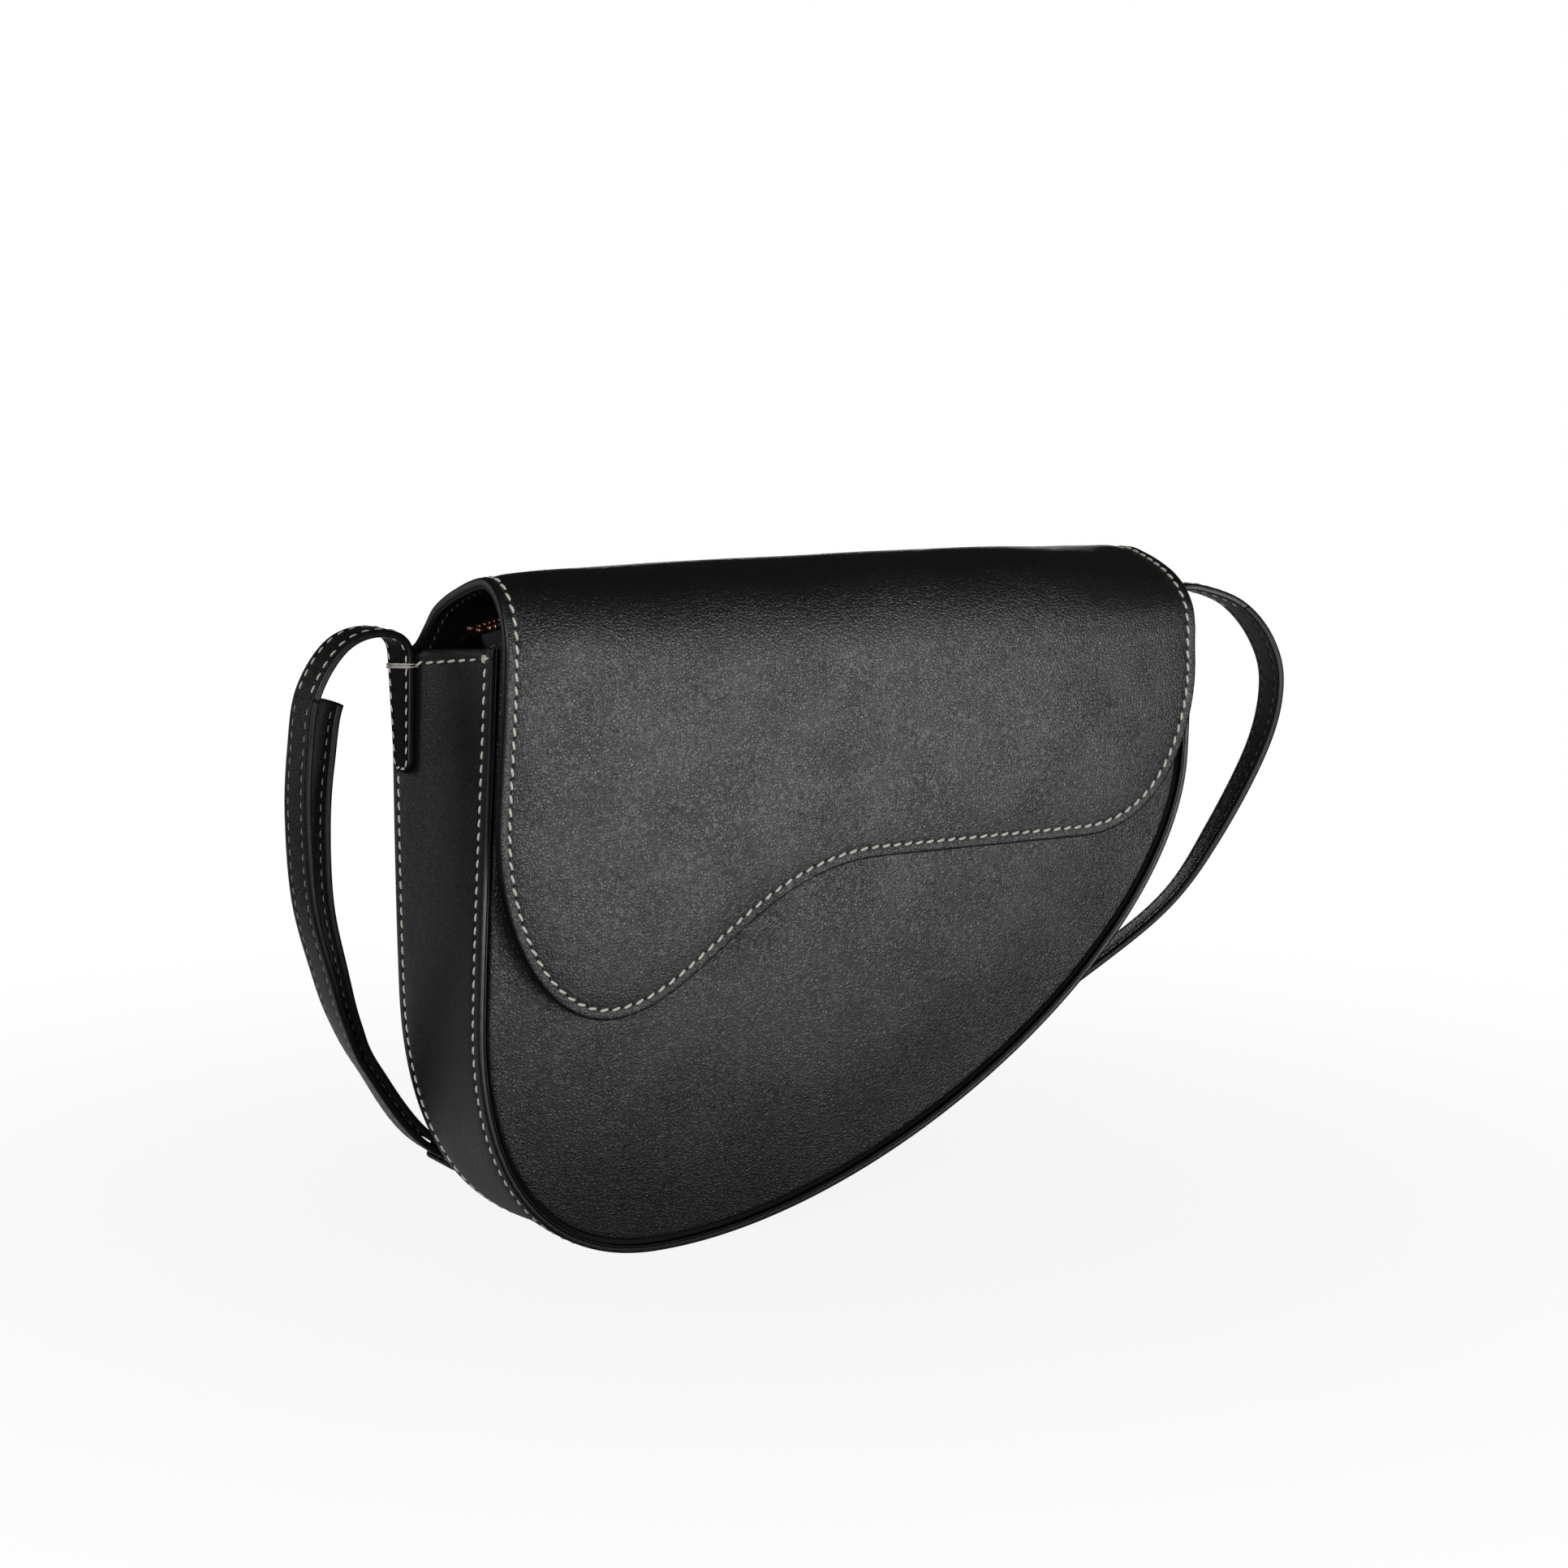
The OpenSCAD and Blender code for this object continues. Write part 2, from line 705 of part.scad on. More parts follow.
// Moves to the row i of the loop, with X along the strap, Y across it and Z to its inside
module on_strap(i) {
  p = loop_at(i);
  t = along_loop(i);
  v = across_loop(i);
  n = cross(t, v);
  translate([p[0], p[1], p[2]]) rotate([atan2(v[2], n[2]), -asin(t[2]), atan2(t[1], t[0])]) children();
}

// Share of a row of the table that spans d along the strap near the buckle
function rows(d, i = buckle_i) =
  d / norm([for (k = [0 : 2]) loop_point(i + 1)[k] - loop_point(i)[k]]);

module strap_left() {
  first = rows(clear, 0);
  last = buckle_i - rows(bar_r + eye_wall / 2);
  n = ceil((last - first) * path_steps);
  root = bar_r + hair / 4;
  at_hang_point() color("#18181a") difference() {
    union() {
      loft([for (i = [0 : n]) strap_ring(first + (last - first) * i / n, 0)]);
      on_strap(buckle_i) translate([0, 0, bar_lift]) rotate([90, 0, 0])
        cylinder(r = root + eye_wall, h = strap_w, center = true);
    }
    on_strap(buckle_i) translate([0, 0, bar_lift]) {
      rotate([90, 0, 0]) cylinder(r = root, h = strap_w + over, center = true);
      translate([-root - prong_arm / 2 - clear, -prong_slot / 2, -over / 2])
        cube([over, prong_slot, over]);
    }
  }
}

// Height of the right half of the strap over the loop's line, d before the buckle's bar
function right_lift(d) = lookup(d, [
  [-bar_r - eye_wall, over_bar], [bar_r, over_bar - hair], [buckle_l * 0.8, under_bar],
  [buckle_l + 2 * buckle_t, under_bar], [buckle_l * 3, 0], [buckle_l * 4, 0]
]);

module strap_right() {
  first = buckle_i - rows(bar_r + eye_wall);
  last = len(loop_shares) - 1 - rows(clear, len(loop_shares) - 2);
  n = ceil((last - first) * path_steps * 2);
  at_hang_point() color("#18181a")
    difference() {
      loft([for (i = [0 : n]) let (k = first + (last - first) * i / n)
        strap_ring(k, right_lift((k - buckle_i) / rows(1)))]);
      on_strap(buckle_i) translate([-bar_r - eye_wall - hair, -prong_slot / 2, -over / 2])
        cube([buckle_l * 0.8 + bar_r + eye_wall, prong_slot, over]);
    }
}

module strap_tail() {
  last = buckle_i - rows(bar_r + eye_wall);
  n = ceil((last - tail_end_i) * path_steps);
  span = last - tail_end_i;
  at_hang_point() color("#18181a")
    loft([for (i = [0 : n]) let (k = tail_end_i + span * i / n, near = (last - k) / rows(1))
      strap_ring(k, near < buckle_l * 0.7
        ? over_bar + (tail_lift - over_bar) * near / (buckle_l * 0.7)
        : tail_lift * lookup(i / n, tail_shares))]);
}

module buckle_frame() {
  inner_w = strap_w + 4 * hair;
  at_hang_point() color("#c9a878")
    on_strap(buckle_i) translate([0, 0, bar_lift - buckle_t / 2])
      difference() {
        linear_extrude(height = buckle_t) difference() {
          translate([-bar_r - buckle_t / 2, -inner_w / 2 - buckle_t])
            square([buckle_l + bar_r + 2 * buckle_t, inner_w + 2 * buckle_t]);
          translate([-bar_r - buckle_t, -inner_w / 2])
            square([buckle_l + bar_r + buckle_t, inner_w]);
        }
        translate([0, 0, buckle_t / 2]) rotate([90, 0, 0])
          cylinder(r = bar_r, h = inner_w + over, center = true);
      }
}

module buckle_bar() {
  at_hang_point() color("#c9a878")
    on_strap(buckle_i) translate([0, 0, bar_lift]) rotate([90, 0, 0])
      cylinder(r = bar_r, h = strap_w + 4 * hair + 2 * buckle_t, center = true);
}

module buckle_prong() {
  tip = buckle_l + buckle_t * 0.7;
  rest = buckle_t / 2 + hair;
  arm = prong_arm;
  root = bar_r + hair / 4;
  at_hang_point() color("#c9a878")
    on_strap(buckle_i) translate([0, 0, bar_lift]) rotate([90, 0, 0]) difference() {
      union() {
        cylinder(r = root + arm / 2, h = prong_w, center = true);
        linear_extrude(height = prong_w, center = true)
          polygon([[0, root], [buckle_l / 2, rest + arm], [tip, rest + arm], [tip, rest],
            [buckle_l / 2, rest - hair], [root + arm / 2, -hair], [0, -hair]]);
      }
      cylinder(r = root, h = prong_w + over, center = true);
    }
}

// A leather band round the strap and its tail
module keeper(i, room) {
  low = -strap_t / 2 - room;
  high = tail_lift * 1.08 + strap_t / 2 + room;
  w = strap_w / 2 + room;
  on_strap(i) rotate([90, 0, 90]) linear_extrude(height = keeper_l, center = true) difference() {
    translate([-w - keeper_t, low - keeper_t]) square([2 * (w + keeper_t), high - low + 2 * keeper_t]);
    translate([-w, low]) square([2 * w, high - low]);
  }
}

module fixed_keeper() {
  at_hang_point() color("#18181a") keeper(keeper_i, hair);
}

module sliding_keeper() {
  at_hang_point() color("#18181a") keeper(slider_i, 4 * hair);
}

front_panel();
back_panel();
gusset();
front_board();
back_board();
front_lining();
back_lining();
gusset_lining();
front_facing();
back_facing();
slip_pocket();
body_magnet();
zip_panel_front();
zip_panel_back();
zip_tape_front();
zip_tape_back();
zip_teeth_front();
zip_teeth_back();
zip_end_stops();
zip_slider();
zip_pull();
flap_root();
flap_leather();
flap_board();
flap_lining();
flap_magnet();
strap_tab_left();
strap_tab_right();
strap_left();
strap_right();
strap_tail();
buckle_frame();
buckle_bar();
buckle_prong();
fixed_keeper();
sliding_keeper();
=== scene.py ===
"""Looks of the saddle handbag: black grained leather, pale saddle stitching, copper zip.

Shapes are worked out in millimetres in the drawing frame, whose origin is at mid width, at the
middle of the body's depth and at the height of the gusset tops: X to the right, Y to the back, Z up.
`to_row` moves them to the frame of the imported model, in metres, whose origin is the hang point.
"""

import logging
from dataclasses import dataclass
from enum import Enum
from typing import Optional, Sequence, Union

import bpy
import numpy as np
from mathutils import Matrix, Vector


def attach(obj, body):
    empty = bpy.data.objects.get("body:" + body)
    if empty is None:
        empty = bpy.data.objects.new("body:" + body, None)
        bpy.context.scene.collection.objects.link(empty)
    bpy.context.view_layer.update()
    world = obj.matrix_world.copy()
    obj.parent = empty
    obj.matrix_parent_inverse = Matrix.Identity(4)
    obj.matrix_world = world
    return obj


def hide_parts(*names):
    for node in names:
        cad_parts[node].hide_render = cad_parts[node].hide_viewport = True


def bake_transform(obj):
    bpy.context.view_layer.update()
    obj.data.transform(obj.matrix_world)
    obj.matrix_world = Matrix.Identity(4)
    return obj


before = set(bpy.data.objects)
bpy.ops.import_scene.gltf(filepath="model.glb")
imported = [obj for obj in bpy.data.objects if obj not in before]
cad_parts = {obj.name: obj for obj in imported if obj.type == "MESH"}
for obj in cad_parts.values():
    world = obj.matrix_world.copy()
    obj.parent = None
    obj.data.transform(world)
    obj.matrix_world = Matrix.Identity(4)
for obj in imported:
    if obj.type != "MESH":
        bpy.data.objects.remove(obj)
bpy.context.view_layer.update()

Array = np.ndarray
Object = bpy.types.Object
Material = bpy.types.Material
Colour = tuple[float, ...]
LOG = logging.getLogger("handbag")
HANG_POINT = np.array([0.0, 24.0, 7.2])
MM = 1000.0
TAU = 2 * np.pi
WHITE = (1.0, 1.0, 1.0, 1.0)


def to_row(points: Array) -> Array:
    """Millimetres of the drawing frame, last axis x, y, z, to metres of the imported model's frame."""
    return (np.asarray(points, float) - HANG_POINT) * 0.001


def unit(v: Array) -> Array:
    """Vectors of any number of axes scaled to length one."""
    return v / np.maximum(np.linalg.norm(v, axis=-1, keepdims=True), 1e-12)


def xyz(x: Array, y: Array, z: Array) -> Array:
    """Points from three arrays that broadcast together."""
    return np.stack(np.broadcast_arrays(x, y, z), axis=-1).astype(float)


def smooth(x: Array, low: float, high: float) -> Array:
    """Smoothstep: 3t^2 - 2t^3 with t the clipped share of x between low and high."""
    t = np.clip((np.asarray(x, float) - low) / (high - low), 0.0, 1.0)
    return t * t * (3.0 - 2.0 * t)


def bell(x: Array, width: float) -> Array:
    """Bell curve exp(-(x / width)^2)."""
    return np.exp(-((x / width) ** 2))


def circle(count: int) -> Array:
    """Even angles round a full turn."""
    return np.linspace(0, TAU, count, endpoint=False)


def cos_sin(angle: Array) -> Array:
    """Points of the unit circle."""
    return np.stack([np.cos(angle), np.sin(angle)], axis=-1)


def catmull(a: Array, b: Array, c: Array, d: Array, t: Array) -> Array:
    """Catmull-Rom: the cubic from b to c whose slopes there are (c - a) / 2 and (d - b) / 2."""
    return (2 * b + (c - a) * t + (2 * a - 5 * b + 4 * c - d) * t**2 + (3 * b - a - 3 * c + d) * t**3) / 2


def through(points: Array, steps: int = 24) -> Array:
    """A Catmull-Rom curve through the points.

    Args:
        points: (n, k) array of points to pass.
        steps: Samples between two points.

    Returns:
        The samples, ends included.
    """
    p = np.asarray(points, float)
    p = np.concatenate([[2 * p[0] - p[1]], p, [2 * p[-1] - p[-2]]])
    t = np.linspace(0, 1, steps, endpoint=False)[:, None]
    spans = [catmull(*four, t) for four in zip(p[:-3], p[1:-2], p[2:-1], p[3:])]
    return np.concatenate([*spans, [p[-2]]])


def cubic_chain(handles: Sequence[Sequence[float]], steps: int = 60) -> Array:
    """Points along joined cubic curves, each the usual sum of four weighted handles.

    Args:
        handles: 3n + 1 handles of n curves; neighbours share the handle where they join.
        steps: Points a curve.

    Returns:
        (n * steps + 1, 2) array that ends on the last handle.
    """
    p = np.array(handles, float)
    t = np.linspace(0, 1, steps, endpoint=False)[:, None]
    weights = ((1 - t) ** 3, 3 * (1 - t) ** 2 * t, 3 * (1 - t) * t**2, t**3)
    spans = [sum(w * p[k + n] for n, w in enumerate(weights)) for k in range(0, len(p) - 1, 3)]
    return np.concatenate([*spans, p[-1:]])


class Line:
    """A polyline of any number of axes, measured along its length."""

    def __init__(self, points: Array, measured: Optional[int] = None) -> None:
        """Keeps the points that lie apart, and their running length.

        Args:
            points: (n, k) array.
            measured: Number of first axes that count as length, or None for all.
        """
        steps = np.linalg.norm(np.diff(points[:, :measured], axis=0), axis=1)
        self.points = points[np.append(True, steps > 1e-6)]
        steps = np.linalg.norm(np.diff(self.points[:, :measured], axis=0), axis=1)
        self.along = np.append(0.0, np.cumsum(steps))

    @property
    def length(self) -> float:
        """Whole length of the line."""
        return float(self.along[-1])

    def at(self, s: Array) -> Array:
        """Points at the lengths s, linear between the line's own points."""
        return np.stack([np.interp(s, self.along, axis) for axis in self.points.T], axis=-1)

    def direction(self, s: Array, reach: float = 0.8) -> Array:
        """Unit tangents at s, from points a little before and after."""
        return unit(self.at(np.clip(s + reach, 0, self.length)) - self.at(np.clip(s - reach, 0, self.length)))

    def inward(self, s: Array) -> Array:
        """Unit normals to the left of the direction, which is inside for both outlines here."""
        t = self.direction(s)
        return np.stack([-t[..., 1], t[..., 0]], axis=-1)

    def beside(self, s: Array, d: Array) -> Array:
        """Points at s moved inwards by d."""
        return self.at(s) + self.inward(s) * np.asarray(d)[..., None]

    def even(self, spacing: float, start: float = 0.0, end: Optional[float] = None) -> Array:
        """Lengths from start to end in equal steps of about the spacing.

        Args:
            spacing: Wanted step in millimetres.
            start: First length.
            end: Last length, or None for the line's end.

        Returns:
            The lengths, both ends included.
        """
        stop = self.length if end is None else end
        return np.linspace(start, stop, max(2, int(round((stop - start) / spacing)) + 1))

    def distance(self, x: Array, y: Array) -> Array:
        """Distance of each place from the nearest of the line's even samples."""
        gaps = np.stack([x.ravel(), y.ravel()], axis=-1)[:, None] - self.at(self.even(1.5))[None]
        return np.sqrt((gaps**2).sum(-1)).min(1).reshape(x.shape)


# ---------------------------------------------------------------- meshes


def grid_faces(rows: int, cols: int, close_u: bool = False, close_v: bool = True) -> Array:
    """Corner numbers of a grid's faces.

    Args:
        rows: Rows of points.
        cols: Points a row.
        close_u: Joins the last row to the first.
        close_v: Joins the last column to the first.

    Returns:
        (faces, 4) array, row after row.
    """
    i, j = np.meshgrid(np.arange(rows - (not close_u)), np.arange(cols - (not close_v)), indexing="ij")
    i2, j2 = (i + 1) % rows, (j + 1) % cols
    return np.stack([i * cols + j, i * cols + j2, i2 * cols + j2, i2 * cols + j], axis=-1).reshape(-1, 4)


def sweep(path: Array, across: Array, up: Array, section: Array) -> Array:
    """A section carried along a path: path + across * section_x + up * section_y.

    Args:
        path: (m, 3) points.
        across: (m, 3) unit vectors of the section's first axis.
        up: (m, 3) unit vectors of the section's second axis.
        section: (n, 2) points, or (m, n, 2) where it changes along the path.

    Returns:
        (m, n, 3) grid.
    """
    wide, high = section[..., 0, None], section[..., 1, None]
    return path[:, None] + across[:, None] * wide + up[:, None] * high


def round_box(width: float, height: float, radius: float, steps: int = 4) -> Array:
    """Closed outline of a rectangle with round corners, counter-clockwise.

    Args:
        width: Full width.
        height: Full height.
        radius: Corner radius.
        steps: Points a corner, less one.

    Returns:
        (n, 2) array.
    """
    angle = np.linspace(0, np.pi / 2, steps + 1)
    reach = np.array([width / 2 - radius, height / 2 - radius])
    corners = enumerate([(1, 1), (-1, 1), (-1, -1), (1, -1)])
    return np.concatenate([signs * reach + radius * cos_sin(angle + k * np.pi / 2) for k, signs in corners])


def closed_ends(grid: Array, depth: float, steps: int = 3) -> Array:
    """Rounds both ends of a closed tube: rows that shrink on a quarter circle to the end's middle.

    Args:
        grid: (m, n, 3) tube.
        depth: How far each end bulges past its last row.
        steps: Rows an end.

    Returns:
        The longer grid, whose first and last rows are points.
    """

    def cap(row: Array, before: Array) -> list[Array]:
        """Rows from the tube's end to its tip."""
        middle = row.mean(0)
        bulge = unit(middle - before.mean(0)) * depth
        turn = np.linspace(0, np.pi / 2, steps + 1)[1:]
        return [middle + (row - middle) * np.cos(t) + bulge * np.sin(t) for t in turn]

    return np.stack([*cap(grid[0], grid[1])[::-1], *grid, *cap(grid[-1], grid[-2])])


class Shell:
    """Collects surface grids in millimetres and makes one smooth mesh object of them."""

    def __init__(self, name: str) -> None:
        """Starts an empty shell with the object's name."""
        self.name = name
        self._blocks: list[tuple[Array, ...]] = []
        self._count = 0

    def _add(self, points: Array, faces: Array, slots: Array, uv: Array) -> None:
        """Keeps one block, its faces counted on from the points so far."""
        self._blocks.append((points, faces + self._count, slots, uv))
        self._count += len(points)

    def grid(
        self,
        points: Array,
        outside: Array,
        slots: Union[int, Array] = 0,
        close_u: bool = False,
        close_v: bool = False,
    ) -> None:
        """Adds a grid of quads and turns it so that its faces look outside.

        Args:
            points: (m, n, 3) grid in millimetres.
            outside: Expected outward direction, one vector or one a point.
            slots: Material slot of the faces, one or one a column.
            close_u: Joins the last row to the first.
            close_v: Joins the last column to the first.
        """
        m, n, _ = points.shape
        quads = grid_faces(m, n, close_u, close_v)
        flat = points.reshape(-1, 3)
        cross = np.cross(flat[quads[:, 2]] - flat[quads[:, 0]], flat[quads[:, 3]] - flat[quads[:, 1]])
        wanted = np.broadcast_to(outside, points.shape).reshape(-1, 3)[quads].mean(1)
        if (cross * wanted).sum() < 0:
            quads = quads[:, ::-1]
        uv = np.stack(np.broadcast_arrays(np.linspace(0, 1, m)[:, None], np.linspace(0, 1, n)), axis=-1)
        own = np.broadcast_to(slots, (m if close_u else m - 1, n if close_v else n - 1)).reshape(-1)
        self._add(flat, quads, own, uv.reshape(-1, 2))

    def tube(self, points: Array, slots: Union[int, Array] = 0, close_u: bool = False) -> None:
        """Adds a closed tube whose faces look away from the middles of its rings."""
        self.grid(points, points - points.mean(1, keepdims=True), slots, close_u, True)

    def plate(self, face: Array, back: Array) -> None:
        """Adds a thin closed sheet between two grids of the same shape."""
        self.tube(closed_ends(np.concatenate([face, back[:, ::-1]], axis=1), 0.3, 1))

    def cord(self, path: Array, side: Array, radius: float, slot: int = 0) -> None:
        """Adds a round thread along a path; side is a vector across it everywhere."""
        across = np.broadcast_to(side, path.shape)
        up = np.cross(unit(np.gradient(path, axis=0)), across)
        self.tube(sweep(path, across, up, radius * cos_sin(circle(6))), slot)

    def copies(self, shape: tuple[Array, Array, Array], places: Array, axes: Array, slot: int = 0) -> None:
        """Adds one small shape many times.

        Args:
            shape: (k, 3) points, (f, 4) faces that look outwards, and (k, 2) map.
            places: (n, 3) positions.
            axes: (n, 3, 3) rows that carry the shape's x, y and z.
            slot: Material slot.
        """
        template, quads, uv = shape
        n, k = len(places), len(template)
        points = np.einsum("kc,ncd->nkd", template, axes) + places[:, None, :]
        faces = quads[None] + (np.arange(n) * k)[:, None, None]
        if np.linalg.det(axes[0]) < 0:
            faces = faces[..., ::-1]
        slots = np.full(n * len(quads), slot)
        self._add(points.reshape(-1, 3), faces.reshape(-1, 4), slots, np.tile(uv, (n, 1)))

    def make(self, finishes: Sequence[Material]) -> Object:
        """Builds the object at the origin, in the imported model's frame.

        Args:
            finishes: Materials in the order of the slots.

        Returns:
            The new object.
        """
        points, faces, slots, uv = (np.concatenate(k) for k in zip(*self._blocks))
        mesh = bpy.data.meshes.new(self.name)
        mesh.vertices.add(len(points))
        mesh.vertices.foreach_set("co", to_row(points).astype(np.float32).ravel())
        mesh.loops.add(faces.size)
        mesh.loops.foreach_set("vertex_index", faces.astype(np.int32).ravel())
        mesh.polygons.add(len(faces))
        mesh.polygons.foreach_set("loop_start", np.arange(0, faces.size, 4, dtype=np.int32))
        mesh.polygons.foreach_set("material_index", slots.astype(np.int32))
        mesh.polygons.foreach_set("use_smooth", np.ones(len(faces), bool))
        layer = mesh.uv_layers.new(name="UVMap")
        layer.data.foreach_set("uv", uv[faces.ravel()].astype(np.float32).ravel())
        mesh.update(calc_edges=True)
        mesh.validate()
        obj = bpy.data.objects.new(self.name, mesh)
        bpy.context.scene.collection.objects.link(obj)
        for finish in finishes:
            mesh.materials.append(finish)
        return obj


@dataclass(frozen=True)
class Thread:
    """Sizes of one saddle stitch in millimetres."""

    length: float = 3.1
    radius: float = 0.4
    pitch: float = 4.07
    slant: float = 0.24
    hole: float = 0.72

    def template(self) -> tuple[Array, Array, Array]:
        """A bent capsule: x runs along it, its radius follows (1 - x^2)^0.3, its ends dip by x^4.

        Returns:
            Points, quads and the map whose first axis runs along the thread.
        """
        rows, turn = 8, circle(7)
        x = np.sin(np.linspace(-np.pi / 2, np.pi / 2, rows))[:, None]
        r = self.radius * np.sqrt(1.0 - x**2 * 0.985) ** 0.6
        lift = self.radius * (0.62 - 1.2 * x**4)
        points = xyz(x * self.length / 2, r * np.cos(turn) * 1.12, r * np.sin(turn) + lift)
        uv = np.stack(np.broadcast_arrays((x + 1) / 2, turn / TAU), axis=-1)
        return points.reshape(-1, 3), grid_faces(rows, len(turn))[:, ::-1], uv.reshape(-1, 2)

    def pit(self) -> tuple[Array, Array, Array]:
        """A flat dome that carries the painted shade of the needle hole at a stitch's end.

        Returns:
            Points, quads and map.
        """
        turn = circle(8)
        r, z = np.array([(1.0, -0.05), (0.75, 0.035), (0.05, 0.045)]).T[..., None]
        x, y = (self.hole * r * k for k in (0.95 * np.cos(turn), 0.72 * np.sin(turn)))
        return xyz(x, y, z).reshape(-1, 3), grid_faces(len(r), len(turn)), np.zeros((x.size, 2))


class Seam:
    """A row of stitches along a line on a surface."""

    def __init__(self, thread: Thread, thread_slot: int = 0, shade_slot: int = 1) -> None:
        """Keeps the thread's sizes and the slots of the thread and of the needle holes' painted shade."""
        self.thread = thread
        self.slots = (thread_slot, shade_slot)

    def sew(self, shell: Shell, path: Array, normal: Array, slant: float = 1.0) -> int:
        """Lays stitches along a path in space, and a dark dome of painted shade for the needle hole at each
        end of them.

        Args:
            shell: Shell that takes the stitches.
            path: (n, 3) points on the surface.
            normal: (n, 3) outward normals there.
            slant: Sign and share of the stitches' slant.

        Returns:
            Number of stitches.
        """
        line = Line(np.concatenate([path, normal], axis=1), 3)
        count = max(1, int(round(line.length / self.thread.pitch)))
        pitch = line.length / count

        def lay(shape: tuple, s: Array, middle: Array, reach: float, turn: float, slot: int) -> None:
            """Copies at s, aimed from reach before to reach past the middle and turned sideways."""
            p, n = np.split(line.at(s), 2, axis=-1)
            n = unit(n)
            before, past = (line.at(np.clip(middle + k, 0, line.length))[:, :3] for k in (-reach, reach))
            t = unit(past - before)
            t = unit(t + unit(np.cross(n, t)) * turn)
            side = unit(np.cross(n, t))
            shell.copies(shape, p, np.stack([t, side, np.cross(t, side)], axis=1), slot)

        s = (np.arange(count) + 0.5) * pitch
        lay(self.thread.template(), s, s, pitch / 3, self.thread.slant * slant, self.slots[0])
        s = np.arange(count + 1) * pitch
        lay(self.thread.pit(), s, np.clip(s, 0.3, line.length - 0.3), 0.3, 0.0, self.slots[1])
        return count


# ---------------------------------------------------------------- shader nodes


class Sock:
    """A value socket with arithmetic: each operator adds one Math node."""

    def __init__(self, nodes: "Nodes", socket: bpy.types.NodeSocket) -> None:
        """Wraps an output socket of the graph."""
        self.nodes, self.socket = nodes, socket

    def _math(self, kind: str, *values: Union["Sock", float]) -> "Sock":
        """One Math node of the kind on the values."""
        return self.nodes.add("ShaderNodeMath", {"operation": kind}, dict(enumerate(values)))

    def __add__(self, other: Union["Sock", float]) -> "Sock":
        """Sum."""
        return self._math("ADD", self, other)

    def __sub__(self, other: Union["Sock", float]) -> "Sock":
        """Difference."""
        return self._math("SUBTRACT", self, other)

    def __rsub__(self, other: float) -> "Sock":
        """Reflected difference."""
        return self._math("SUBTRACT", other, self)

    def __mul__(self, other: Union["Sock", float]) -> "Sock":
        """Product."""
        return self._math("MULTIPLY", self, other)

    __radd__ = __add__
    __rmul__ = __mul__

    def sine(self) -> "Sock":
        """Sine of the value."""
        return self._math("SINE", self)

    def between(self, low: float, high: float) -> "Sock":
        """Smooth share of the value between two bounds, from 0 to 1."""
        values = {"Value": self, "From Min": low, "From Max": high}
        return self.nodes.add("ShaderNodeMapRange", {"interpolation_type": "SMOOTHSTEP"}, values)


Value = Union[Sock, float, tuple]


